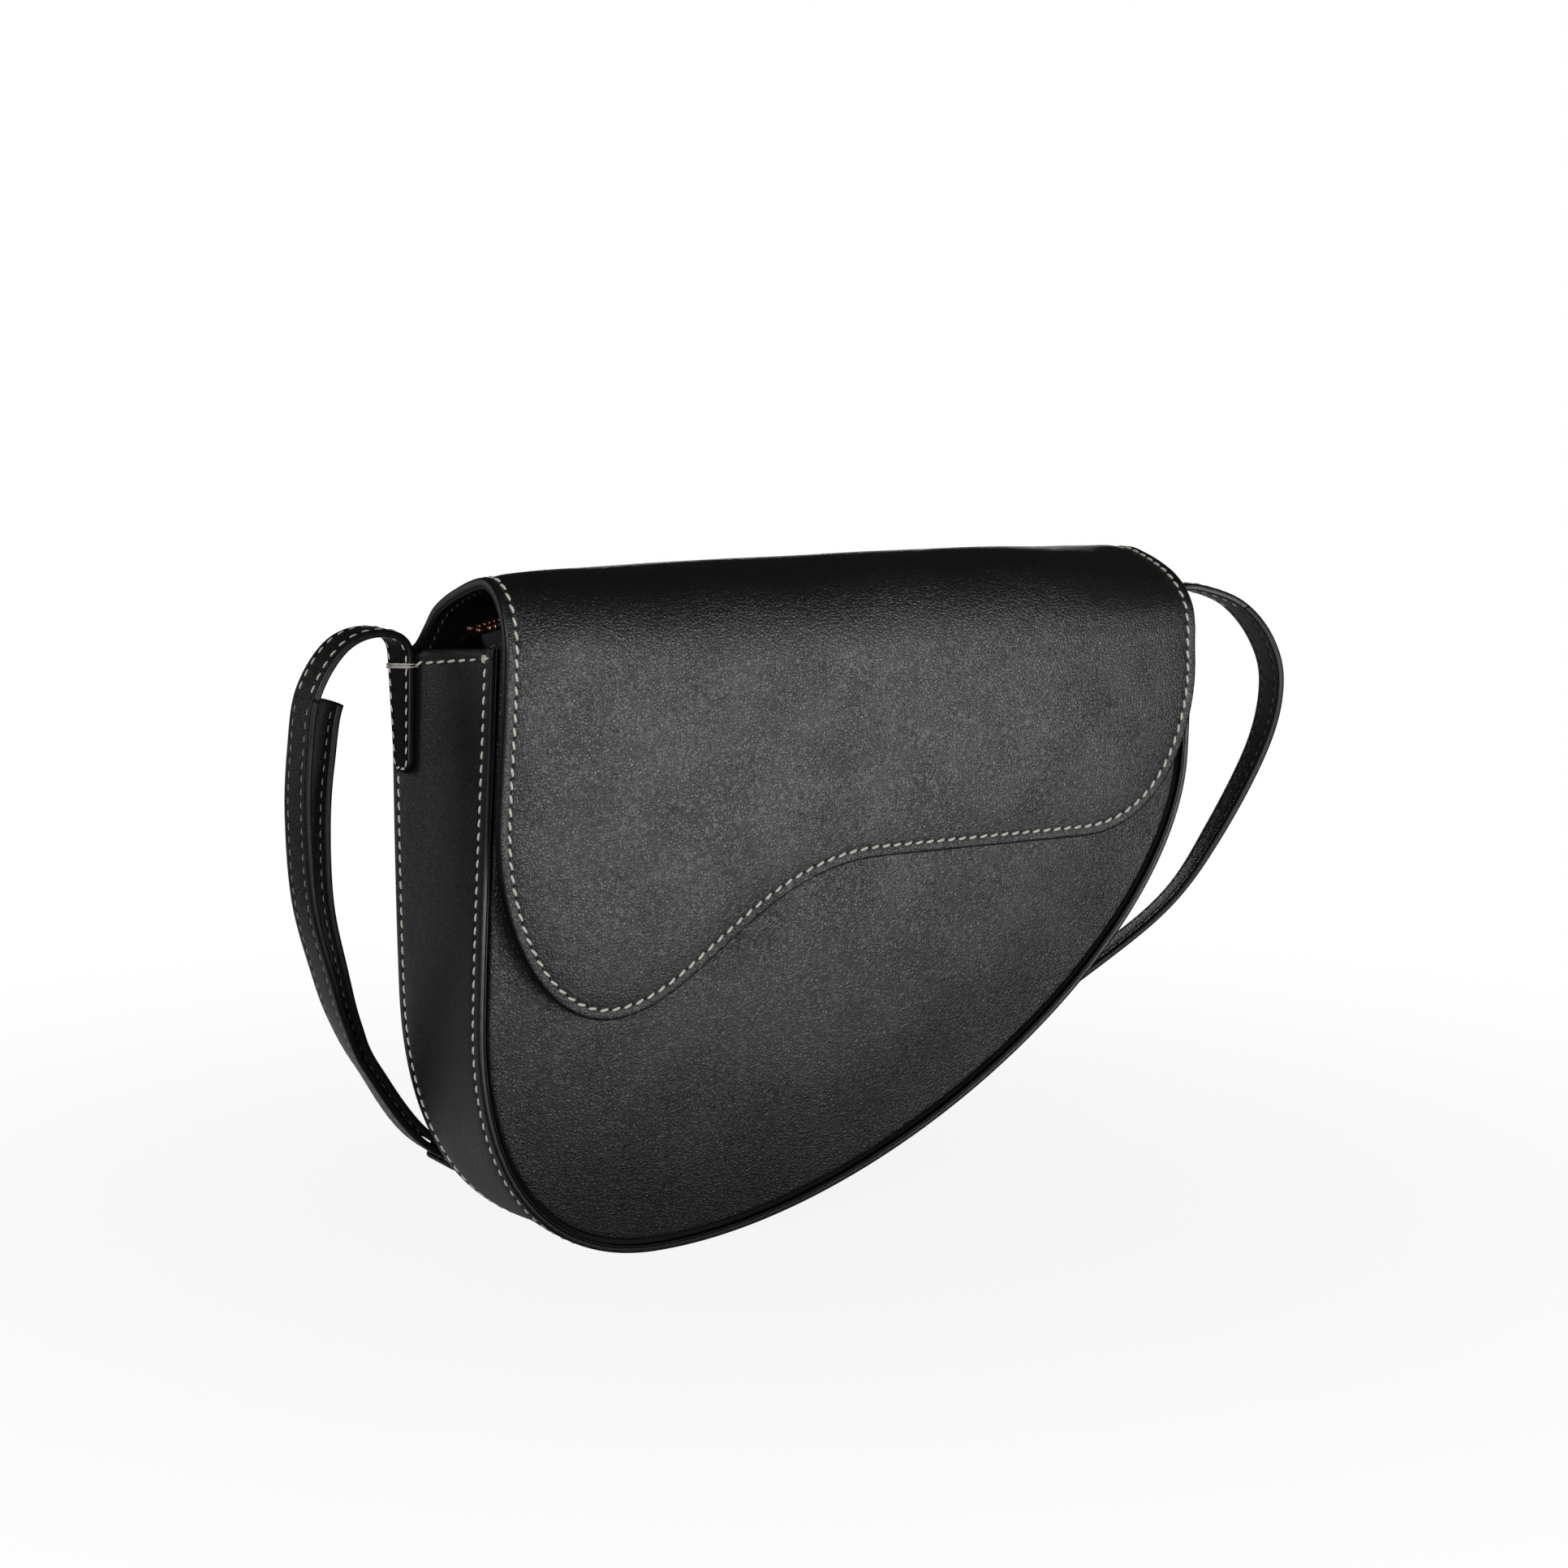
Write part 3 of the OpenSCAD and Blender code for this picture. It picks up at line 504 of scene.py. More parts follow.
class Nodes:
    """The node graph of a material or of the world."""

    def __init__(self, owner: bpy.types.ID) -> None:
        """Empties the owner's graph."""
        owner.use_nodes = True
        self.owner, self.tree = owner, owner.node_tree
        self.tree.nodes.clear()

    @classmethod
    def material(cls, name: str) -> "Nodes":
        """The empty graph of a new material."""
        return cls(bpy.data.materials.new(name))

    def add(
        self,
        kind: str,
        settings: Optional[dict] = None,
        values: Optional[dict] = None,
        outlet: Union[int, str] = 0,
    ) -> Sock:
        """Adds any node.

        Args:
            kind: Node type.
            settings: Properties, set first.
            values: Numbers or sockets by input name or index.
            outlet: Output to return.

        Returns:
            The wrapped output, which is empty for an output node.
        """
        node = self.tree.nodes.new(kind)
        for key, value in (settings or {}).items():
            setattr(node, key, value)
        for key, value in (values or {}).items():
            if isinstance(value, Sock):
                self.tree.links.new(value.socket, node.inputs[key])
            else:
                node.inputs[key].default_value = value
        return Sock(self, node.outputs[outlet] if node.outputs else None)

    def place(self, scale: float = MM, squeeze: Colour = (1.0, 1.0, 1.0)) -> Sock:
        """Object coordinates times scale in repeats a metre, squeezed along each axis."""
        here = self.add("ShaderNodeTexCoord", outlet="Object")
        size = tuple(scale * k for k in squeeze)
        return self.add("ShaderNodeMapping", values={"Vector": here, "Scale": size})

    def noise(self, where: Sock, scale: float = 1.0, detail: float = 2.0, outlet: str = "Fac") -> Sock:
        """Noise at a place."""
        values = {"Vector": where, "Scale": scale, "Detail": detail}
        return self.add("ShaderNodeTexNoise", None, values, outlet)

    def cells(self, where: Sock, scale: float, feature: str = "DISTANCE_TO_EDGE") -> Sock:
        """Distance in a cell pattern, from its borders or from its points."""
        values = {"Vector": where, "Scale": scale}
        return self.add("ShaderNodeTexVoronoi", {"feature": feature}, values, "Distance")

    def vector(self, kind: str, values: dict, outlet: Union[int, str] = 0) -> Sock:
        """One Vector Math node."""
        return self.add("ShaderNodeVectorMath", {"operation": kind}, values, outlet)

    def split(self, vector: Sock) -> list[Sock]:
        """The three axes of a vector as values."""
        node = self.add("ShaderNodeSeparateXYZ", None, {0: vector}).socket.node
        return [Sock(self, outlet) for outlet in node.outputs]

    def bend(self, where: Sock, scale: float, amount: float) -> Sock:
        """A place pushed about by coloured noise, so that cell patterns lose their straight lines."""
        centred = self.vector("SUBTRACT", {0: self.noise(where, scale, 2.0, "Color"), 1: (0.5, 0.5, 0.5)})
        return self.vector("ADD", {0: where, 1: self.vector("SCALE", {0: centred, "Scale": amount})})

    def mix(self, share: Value, first: Value, second: Value) -> Sock:
        """Colour between two colours."""
        return self.add("ShaderNodeMix", {"data_type": "RGBA"}, {0: share, 6: first, 7: second}, 2)

    def bump(
        self, height: Sock, distance: float, strength: float = 1.0, below: Optional[Sock] = None
    ) -> Sock:
        """A bump of the height, whose full step is distance in metres, over another."""
        values = {"Height": height, "Distance": distance, "Strength": strength}
        return self.add("ShaderNodeBump", None, values if below is None else {**values, "Normal": below})

    def finish(self, **values: Value) -> Material:
        """Ends the graph with a Principled shader; names take spaces for underscores."""
        named = {key.replace("_", " "): value for key, value in values.items()}
        shader = self.add("ShaderNodeBsdfPrincipled", None, named)
        self.add("ShaderNodeOutputMaterial", None, {"Surface": shader})
        return self.owner


# ---------------------------------------------------------------- finishes


def grey(value: float, warm: float = 0.0) -> Colour:
    """A grey with a little warmth, as a colour with full alpha."""
    return (value * (1 + warm), value, value * (1 - warm), 1.0)


@dataclass(frozen=True)
class Leather:
    """Aniline-dyed grained leather: cell grain, fine pores, sparse creases and cloudy tone."""

    name: str
    dark: float = 0.004
    light: float = 0.011
    roughness: float = 0.4
    grain_mm: float = 1.05
    grain_depth: float = 0.00015
    crease: float = 1.0
    shine: float = 0.5

    def material(self) -> Material:
        """Cell borders of two sizes lower the surface, creases cut deeper where a mask allows.

        Returns:
            The material.
        """
        g = Nodes.material(self.name)
        base = g.place()
        cells = g.bend(base, 0.55 / self.grain_mm, 1.3 * self.grain_mm)
        edge = g.cells(cells, 1 / self.grain_mm)
        small = g.cells(cells, 2.3 / self.grain_mm, "F1")
        grain = edge.between(0.0, 0.3) * 0.85 + (1 - small) * 0.35 + g.noise(base, 0.8, 3.0) * 0.12
        cloud = g.noise(base, 0.013, 3.0).between(0.3, 0.7)
        patch = g.noise(base, 0.045, 3.0).between(0.35, 0.68)
        net = g.cells(g.bend(g.bend(base, 0.12, 6.0), 0.7, 1.2), 0.2)
        crease_patches = g.noise(base, 0.022, 2.0).between(0.5, 0.66) * g.noise(base, 0.11, 2.0).between(0.4, 0.6)
        line = (1 - net.between(0.0, 0.06)) * crease_patches * self.crease
        normal = g.bump(grain * (0.75 + patch * 0.25) - line * 0.8, self.grain_depth)
        normal = g.bump(g.noise(base, 0.05, 1.0), 0.0006, 0.1, normal)
        # the crease lines are also darkened in colour, as painted shade in them
        tone = cloud * 0.5 + grain * 0.3 + g.noise(base, 0.4, 2.0) * 0.2 - line * 0.3
        colour = g.mix(tone, grey(self.dark), grey(self.light, 0.01))
        rough = self.roughness + (1 - grain) * 0.06 + (cloud - 0.5) * 0.025
        return g.finish(Base_Color=colour, Roughness=rough, Normal=normal, Specular_IOR_Level=self.shine)


@dataclass(frozen=True)
class EdgePaint:
    """Painted and burnished cut edge: smooth, a little brighter, with slow ripples."""

    name: str = "edge_paint"
    tone: float = 0.003
    roughness: float = 0.38
    shine: float = 0.5

    def material(self) -> Material:
        """Slow ripples and fine brush noise.

        Returns:
            The material.
        """
        g = Nodes.material(self.name)
        base = g.place()
        ripple = g.noise(base, 0.45, 2.0)
        colour = g.mix(g.noise(base, 0.8, 3.0), grey(self.tone * 0.75), grey(self.tone * 1.2))
        normal = g.bump(ripple + g.noise(base, 6.0, 2.0) * 0.12, 0.0002, 0.5)
        rough = self.roughness + ripple * 0.12
        return g.finish(Base_Color=colour, Roughness=rough, Normal=normal, Specular_IOR_Level=self.shine)


@dataclass(frozen=True)
class ThreadFinish:
    """Waxed linen thread: twisted plies along its own map."""

    name: str
    light: Colour = (0.96, 0.92, 0.83, 1.0)
    dark: Colour = (0.7, 0.64, 0.54, 1.0)

    def material(self) -> Material:
        """Height is the sine of 5 turns along the thread plus 2 turns round it; the ends are darkened as
        painted shade where the thread sinks into the leather.

        Returns:
            The material.
        """
        g = Nodes.material(self.name)
        along, around, _ = g.split(g.add("ShaderNodeUVMap", {"uv_map": "UVMap"}))
        wave = ((along * 5.0 + around * 2.0) * TAU).sine() * 0.5 + 0.5
        fuzz = g.noise(g.place(), 5.0, 2.0)
        ends = (along * np.pi).sine().between(0.0, 0.55)
        colour = g.mix(wave * 0.55 + fuzz * 0.25 + ends * 0.2, self.dark, self.light)
        # painted shade: the colour darkens towards both ends, where the thread dips into its holes
        colour = g.mix(ends, (*(0.45 * c for c in self.dark[:3]), 1.0), colour)
        return g.finish(Base_Color=colour, Roughness=0.62, Normal=g.bump(wave + fuzz * 0.3, 0.00018))


@dataclass(frozen=True)
class Metal:
    """Plated metal: brushed noise in tone and roughness, dull in its low spots."""

    name: str
    light: Colour
    dark: Colour
    roughness: float = 0.28

    def material(self) -> Material:
        """Two noises, one drawn out along X, mix the two colours.

        Returns:
            The material.
        """
        g = Nodes.material(self.name)
        brush = g.noise(g.place(squeeze=(0.3, 4.0, 4.0)))
        patina = g.noise(g.place(), 0.5, 3.0).between(0.35, 0.75)
        colour = g.mix(patina * 0.6 + brush * 0.4, (*self.dark, 1.0), (*self.light, 1.0))
        rough = self.roughness + brush * 0.14 - patina * 0.06
        normal = g.bump(brush, 0.00004, 0.6)
        return g.finish(Base_Color=colour, Metallic=1.0, Roughness=rough, Normal=normal)


@dataclass(frozen=True)
class Cloth:
    """Plain woven cloth."""

    name: str
    dark: Colour = (0.004, 0.004, 0.0044, 1.0)
    light: Colour = (0.014, 0.0135, 0.014, 1.0)
    yarn_mm: float = 0.7
    roughness: float = 0.85

    def material(self) -> Material:
        """The weave is the product of the sines of x and of 0.7y + z, with slubs from drawn-out noise.

        Returns:
            The material.
        """
        g = Nodes.material(self.name)
        x, y, z = g.split(g.place(MM * TAU / self.yarn_mm))
        weave = x.sine() * (y * 0.7 + z).sine() * 0.5 + 0.5
        slub = g.noise(g.place(squeeze=(0.12, 0.12, 1.8)))
        colour = g.mix(weave * 0.6 + slub * 0.4, self.dark, self.light)
        rough = self.roughness - weave * 0.1
        return g.finish(Base_Color=colour, Roughness=rough, Normal=g.bump(weave + slub * 0.5, 0.00012))


@dataclass(frozen=True)
class Board:
    """Grey-brown stiffening board: speckled fibre."""

    name: str = "fibre_board"

    def material(self) -> Material:
        """Noise as fibre and specks.

        Returns:
            The material.
        """
        g = Nodes.material(self.name)
        speck = g.noise(g.place(), 1.6, 4.0)
        colour = g.mix(speck, (0.14, 0.12, 0.09, 1.0), (0.32, 0.28, 0.22, 1.0))
        return g.finish(Base_Color=colour, Roughness=0.8 + speck * 0.15, Normal=g.bump(speck, 0.0001))


FINISHES = {
    "leather": Leather("black_leather"),
    # strap: the bag's black leather made darker and less shiny as painted shade
    "strap": Leather("strap_leather", 0.0025, 0.007, 0.42, 1.0, crease=0.4, shine=0.38),
    # strap_inner: the strap's duller inner face, made near black as painted shade
    "strap_inner": Leather("strap_inner", 0.001, 0.003, 0.6, 1.0, crease=0.0, shine=0.12),
    # flesh: the dark flesh side, darkened further to near black as painted shade under the flap
    "flesh": Leather("flesh_side_shaded", 0.001, 0.004, 0.85, 0.7, 0.00008, crease=0.2, shine=0.15),
    "edge": EdgePaint(),
    "strap_edge": EdgePaint("strap_edge", 0.0015, 0.42, 0.35),
    # rim: painted edge of the panel lips, made darker and duller than the other edges as painted shade of the
    # flap
    "rim": EdgePaint("rim_paint_shaded", 0.0009, 0.36, 0.3),
    "thread": ThreadFinish("linen_thread"),
    # strap_thread: the pale linen thread dimmed as painted shade on the strap
    "strap_thread": ThreadFinish("strap_thread", (0.5, 0.46, 0.4, 1.0), (0.24, 0.21, 0.17, 1.0)),
    # the linen thread dimmed as painted shade, for seams on the flap lining and the strap's inner faces; the
    # zip tapes' seams take it too
    "grey_thread": ThreadFinish("grey_thread", (0.2, 0.185, 0.16, 1.0), (0.08, 0.07, 0.055, 1.0)),
    # needle holes and the panels' rim groove: near-black paint as painted shade inside them
    "pit": EdgePaint("needle_hole_shade", 0.002, 0.9),
    "lining": Cloth("lining_cloth"),
    "tape": Cloth("zip_tape", (0.006, 0.006, 0.006, 1.0), (0.02, 0.02, 0.021, 1.0), 0.5),
    "copper": Metal("copper_zip", (0.62, 0.33, 0.22), (0.33, 0.15, 0.09), 0.3),
    "brass": Metal("pale_brass", (0.78, 0.66, 0.46), (0.5, 0.4, 0.26), 0.24),
    "steel": Metal("dull_steel", (0.55, 0.55, 0.56), (0.3, 0.3, 0.31), 0.4),
    "board": Board(),
}


# ---------------------------------------------------------------- body of the bag


class Way(Enum):
    """A side of the bag, whose value is the sign of its axis."""

    @property
    def word(self) -> str:
        """The side as it stands in the names of pieces."""
        return self.name.lower()


class Side(Way):
    """The front or the back, along Y."""

    FRONT = -1
    BACK = 1


class Hand(Way):
    """The left or the right, along X."""

    LEFT = -1
    RIGHT = 1


@dataclass
class Outline:
    """The rim of the body seen from the front, and the depth between its two rims."""

    half_w: float = 127.5
    height: float = 185.5
    depth_top: float = 70.0
    depth_low: float = 46.5
    swell_left: float = 2.1
    swell_right: float = 1.5
    mouth_rise: float = 6.8

    def __post_init__(self) -> None:
        """Joins four cubic curves down the left, round the corner, along the sweep and up."""
        w, h = self.half_w, self.height
        left, right = w + self.swell_left, w + self.swell_right
        low_x, top = -0.525, 0.57
        handles = [
            [-w, 0.0], [-w - self.swell_left / 3, -h * top / 3], [-left, -h * top * 2 / 3],
            [-left, -h * top], [-left, -h * (top + (1 - top) * 0.65)], [w * (0.37 * low_x - 0.63), -h],
            [low_x * w, -h], [(low_x + 0.667) * w, -h], [right, -h * 0.58],
            [right, -h * 0.228], [right, -h * 0.114], [w + self.swell_right / 2, -h * 0.057], [w, 0.0],
        ]
        self.line = Line(cubic_chain(handles))
        self.taper = (self.depth_top - self.depth_low) / (2 * h)

    def half_depth(self, z: Array) -> Array:
        """Half the depth over the rims at height z."""
        return self.depth_top / 2 + np.asarray(z, float) * self.taper

    def mouth(self, y: Array) -> Array:
        """Height of the mouth's edge at depth y: level behind the strap tabs, rising to the front rim."""
        return self.mouth_rise * np.interp(y, [-35.0, 14.4, 17.6], [1.0, 0.294, 0.0])

    def raised(self, points: Array) -> Array:
        """Points near the mouth carried up with its slope: z + mouth(y) * (1 - smooth(-z, 0, 24)).

        Args:
            points: (..., 3) points of a level mouth.

        Returns:
            The raised points, those in front also moved out along the taper.
        """
        up = self.mouth(points[..., 1]) * (1 - smooth(-points[..., 2], 0.0, 24.0))
        return points + xyz(0.0, np.where(points[..., 1] < -20.0, -self.taper * up, 0.0), up)

    def around(self, s: Array, out: Array, y: Array) -> Array:
        """Points at s along the rim and at depth y, moved outwards by out: (len(s), n, 3) grid."""
        flat = self.line.beside(np.asarray(s)[:, None], -np.asarray(out))
        return xyz(flat[..., 0], y, flat[..., 1])

    def ring(self, s: Array, inset: Array, side: Side) -> Array:
        """Points in a rim's plane at s round the rim, moved inwards by inset: (len(s), n, 3) grid."""
        flat = self.line.beside(s[:, None], inset)
        z = np.minimum(flat[..., 1], 0.0)
        return xyz(flat[..., 0], side.value * self.half_depth(z), z)

    def rows(self, inset: float, levels: int, columns: int, top: float = 0.0) -> tuple[Array, Array]:
        """A grid that fills the outline at an inset: level rows between its left and right sides.

        Args:
            inset: Distance inside the rim.
            levels: Number of rows, closer together towards the bottom.
            columns: Number of columns.
            top: Height of the first row.

        Returns:
            x and z arrays of shape (levels, columns).
        """
        p = self.line.beside(self.line.even(1.0), inset)
        low = int(np.argmin(p[:, 1]))
        z = top + (p[low, 1] + 0.03 - top) * np.sin(np.linspace(0, np.pi / 2, levels))[:, None]
        left = np.interp(-z, -p[: low + 1, 1], p[: low + 1, 0])
        right = np.interp(z, p[low:, 1], p[low:, 0])
        u = np.linspace(0, 1, columns)
        return left + (right - left) * (u - 0.06 * np.sin(TAU * u)), z + 0 * u


@dataclass
class Part:
    """A group of pieces, with the bag's outline and its finishes by name."""

    outline: Outline
    looks: dict[str, Material]

    def finish(self, shell: Shell, finishes: str, node: str = "") -> Object:
        """Makes a piece of a shell.

        Args:
            shell: The filled shell.
            finishes: Names of its finishes, in the order of its slots.
            node: The CAD node that it replaces, if any.

        Returns:
            The object.
        """
        obj = shell.make([self.looks[name] for name in finishes.split()])
        if node:
            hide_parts(node)
        return obj

    @staticmethod
    def level_seam(shell: Shell, x: Array, y: float, z: float, way: float) -> None:
        """Sews a level row of stitches on a face that looks along Y, into the slots 1 and 2."""
        path = xyz(x, y, z)
        Seam(Thread(), 1, 2).sew(shell, path, np.broadcast_to([0.0, way, 0.0], path.shape))


@dataclass
class Body(Part):
    """Front and back panels with their standing rims, the gusset, linings and pocket."""

    rim: float = 1.3
    leather: float = 1.6
    strip: float = 12.0
    swell: float = 1.5
    layers: float = 6.1
    hem: float = 4.3
    seam_in: float = 4.0

    def face_depth(self, x: Array, z: Array) -> Array:
        """Depth of a panel's face inside the rim plane: a soft pillow that starts at the groove.

        Args:
            x: Places across.
            z: Heights.

        Returns:
            rim - swell * smooth(distance to the rim), a little deeper at the top, plus two slow waves.
        """
        d = self.outline.line.distance(x, z)
        wave = 0.22 * np.sin(x / 31.0 + z / 47.0) * np.sin(z / 26.0 - x / 70.0)
        sunk = self.rim - self.swell * smooth(d, 4.0, 40.0) * smooth(-z, 20.0, 75.0)
        return sunk + wave * smooth(d, 10.0, 40.0) * smooth(-z, 30.0, 70.0)

    def panel(self, side: Side) -> Object:
        """One panel: its standing lip and groove carried round the rim, and its face in rows.

        Args:
            side: Front or back.

        Returns:
            The object.
        """
        o, t, way = self.outline, self.leather, side.value
        shell = Shell(f"{side.word}_panel_leather")
        lip = [0.02, 0.03, 0.1, 0.3, 0.5, 0.7, 0.86, 0.94, 0.98, 1.02, 1.3, 1.8, 2.3, 2.44]
        sunk = [3.0, 0.6, 0.26, 0.06, 0.0, 0.06, 0.26, 0.6, 1.9, 3.2, 3.6, 3.6, 3.2, 2.1]
        field = [2.5, 2.6, 2.8, 3.2, 4.2, 6.0, 8.5, 12.0]
        edge = [0.75, 0.4, 0.14, 0.02, 0.0, 0.0, 0.0, 0.0]
        ring = o.ring(o.line.even(2.0), np.array(lip + field) + t, side)
        face = self.face_depth(ring[..., 0], ring[..., 2])
        face[:, : len(lip)] = 0.0
        ring[..., 1] -= way * (face + np.array(sunk + edge))
        # the lip takes the darkened rim paint, partly painted shade; the groove behind it takes near-black
        # paint as painted shade
        slots = np.repeat([1, 2, 0], [8, 5, len(field)])
        shell.grid(o.raised(ring), [0.0, way, 0.0], slots)
        x, z = o.rows(self.strip + t - 0.4, 70, 90)
        face = xyz(x, way * (o.half_depth(z) - self.face_depth(x, z)), z)
        roll = [[1.6, -1.0], [1.45, -0.4], [1.1, -0.08], [0.7, 0.0], [0.25, -0.12]]
        top = [face[0] + [0.0, -way * back, up] for back, up in roll]
        face[..., 2] -= 0.5 * (1 - smooth(-z, 0.0, 6.0))
        shell.grid(o.raised(np.stack([*top, *face])), [0.0, way, 0.5])
        return self.finish(shell, "leather rim pit", f"{side.word}_panel")

    def gusset(self) -> Object:
        """The gusset strip: outer face with lips and a shallow hollow, inner face, rounded top ends.

        Returns:
            The object.
        """
        o, t = self.outline, self.leather
        close = np.array([0.5, 1.2, 4.0, 5.0, 6.0])
        s = np.unique(np.concatenate([o.line.even(2.0), close, o.line.length - close]))
        half = o.half_depth(o.line.at(s)[:, 1:])
        fixed = 6.5
        edge = np.array([0.05, 0, 0.05, 0.3, 1, 2.2, 3.2, 3.7, 4, 4.3, 4.9, fixed, 9.5, 14, 20, 27])
        rise = [-1.5, -0.8, -0.3, -0.06, 0, 0.05, 0, -0.16, -0.24, -0.16, 0, 0.1, 0.12, 0, -0.2, -0.32]
        stretch = (half * 0.96 - fixed) / (edge[-1] - fixed)
        front = np.minimum(edge, fixed) + stretch * np.maximum(edge - fixed, 0.0) - half
        y = np.concatenate([front, -front[:, ::-1]], axis=1)
        from_rim = half - np.abs(y)
        slow = 0.25 * np.sin(s / 23.0)[:, None] * np.cos(y / 24.0) * np.sin(s / 57.0 + 1.0)[:, None]
        below = o.mouth(y) - o.raised(o.around(s, 0.0, y))[..., 2] - self.hem_at(y)
        fold = 0.45 * (1 - smooth(below, -0.8, 1.2)) - 0.4 * bell(below, 0.7)
        out = np.array(rise + rise[::-1]) + slow * smooth(from_rim, 5.0, 14.0)
        out = out + fold * smooth(from_rim, 4.2, 5.6)
        cols = y.shape[1]
        y = np.concatenate([y, y[:, ::-1][:, 2:-2]], axis=1)
        out = np.concatenate([out, np.full((len(s), cols - 4), -t)], axis=1)
        grid = o.around(s, out, y)
        near = np.clip(np.minimum(s, o.line.length - s) / 1.6, 0, 1)[:, None, None]
        grid += (o.around(s, -t / 2, y) - grid) * 0.8 * (1 - np.sqrt(1 - (1 - near) ** 2))
        grid = o.raised(grid)
        away = grid - o.around(s, -0.8, 0.0)
        slots = np.zeros(y.shape[1], int)
        slots[:3] = slots[cols - 4 : cols] = 1
        shell = Shell("gusset_leather")
        shell.grid(grid, np.where(out[..., None] > -1.0, away, -away), slots, close_v=True)
        return self.finish(shell, "leather edge", "gusset")

    def hem_at(self, y: Array) -> Array:
        """Distance of the hem's seam below the mouth's edge: less towards the front rim."""
        return np.interp(y, [-35.0, 15.0], [2.9, self.hem])

    def seams(self) -> Object:
        """Stitches behind both rims of the gusset and across its two folded tops.

        Returns:
            The object.
        """
        o = self.outline
        shell = Shell("gusset_stitches")
        rims, sunk = Seam(Thread(radius=0.36)), 0.26
        hem = Seam(Thread(length=5.6, radius=0.38, pitch=8.1, slant=0.12))
        s = o.line.even(1.5, 1.0, o.line.length - 1.0)
        out = -o.line.inward(s)
        normal = xyz(out[:, 0], 0.0, out[:, 1])
        y = o.half_depth(o.line.at(s)[:, 1:]) - self.seam_in
        total = 0
        for side in Side:
            path = o.around(s, 0.0, side.value * y)[:, 0] - normal * sunk
            total += rims.sew(shell, o.raised(path), normal, side.value)
        back = float(o.half_depth(0.0))
        for k, slant in ((self.hem, 0.5), (o.line.length - self.hem, -0.5)):
            x, out = o.line.at(k)[0], -o.line.inward(k)
            y = np.linspace(-back - 0.1, back - 2.0, 40)
            normal = np.broadcast_to([out[0], 0.0, out[1]], (len(y), 3))
            total += hem.sew(shell, xyz(x, y, o.mouth(y) - self.hem_at(y)) - normal * 0.1, normal, slant)
            corner = self.seam_in - back
            turn = np.linspace(0, TAU, 17)
            z = o.mouth(corner) - self.hem_at(corner) + np.sin(turn)
            shell.cord(xyz(x + 0.35 * out[0], corner + 0.75 * np.cos(turn), z), [out[0], 0.0, 0.0], 0.3)
        LOG.info("gusset_stitches: %d stitches", total)
        return self.finish(shell, "thread pit")

    @staticmethod
    def declare(obj: Object, grid: Array, size: Sequence[float]) -> None:
        """Takes a sheet of cloth that its seams hold flat, and does nothing with it.

        Args:
            obj: The piece; not used.
            grid: (rows, columns, 3) points of one face of the cloth, for its area; not used.
            size: Width and length of the cut in millimetres; not used.
        """

    def lining(self, side: Side) -> Object:
        """One panel lining: a closed sheet of cloth with slow ripples, under its leather facing.

        Args:
            side: Front or back.

        Returns:
            The object.
        """
        x, z = self.outline.rows(2.6, 60, 60, top=-28.0)
        ripple = np.abs(0.25 * np.sin(x / 9.0 + 1.3 * np.sin(z / 21.0)) * smooth(-z, 30, 90))
        depth = self.outline.half_depth(z) - self.layers
        inner, outer = (xyz(x, side.value * (depth + k), z) for k in (0.25 - ripple, 0.85))
        shell = Shell(f"{side.word}_lining_cloth")
        shell.plate(inner, outer)
        obj = self.finish(shell, "lining", f"{side.word}_lining")
        self.declare(obj, inner, (np.ptp(x), np.ptp(z)))
        return obj

    def facing(self, side: Side) -> Object:
        """The leather facing inside the mouth, a flat strip with rounded edges and one seam.

        Args:
            side: Front or back.

        Returns:
            The object.
        """
        way = side.value
        z = np.array([-27.9, -27.6, -26.0, -20.0, -14.0, -8.0, -3.0, -1.9, -1.6])[:, None]
        inward = np.array([-0.8, -0.15, 0.0, 0.02, 0.05, 0.02, 0.0, -0.2, -0.8])[:, None]
        u = np.linspace(-1, 1, 60)
        depth = self.outline.half_depth(z) - self.layers
        shell = Shell(f"{side.word}_facing_leather")
        for thick, look in ((-inward, -way), (0.85, way)):
            shell.grid(xyz((125.3 - 0.02 * z) * u, way * (depth + thick), z), [0.0, look, 0.0])
        seam_z = -25.0
        y = way * (self.outline.half_depth(seam_z) - self.layers - 0.02)
        self.level_seam(shell, u * 124.0, y, seam_z, -way)
        return self.finish(shell, "leather thread pit", f"{side.word}_facing")

    def gusset_lining(self) -> Object:
        """The cloth that lines the gusset between the two panel linings.

        Returns:
            The object.
        """
        o = self.outline
        s = o.line.even(3.0, 1.6, o.line.length - 1.6)
        half = o.half_depth(o.line.at(s)[:, 1:]) - self.layers - 0.1
        v = np.linspace(-1, 1, 15)
        bulge = 0.45 + 0.24 * np.sin(s / 11.0)[:, None] * (1 - v**2)
        outer, inner = (o.around(s, -depth, half * v) for depth in (1.65, 2.0 + bulge))
        shell = Shell("gusset_lining_cloth")
        shell.plate(outer, inner)
        obj = self.finish(shell, "lining", "gusset_lining")
        self.declare(obj, inner, (2 * half.max(), np.ptp(s)))
        return obj

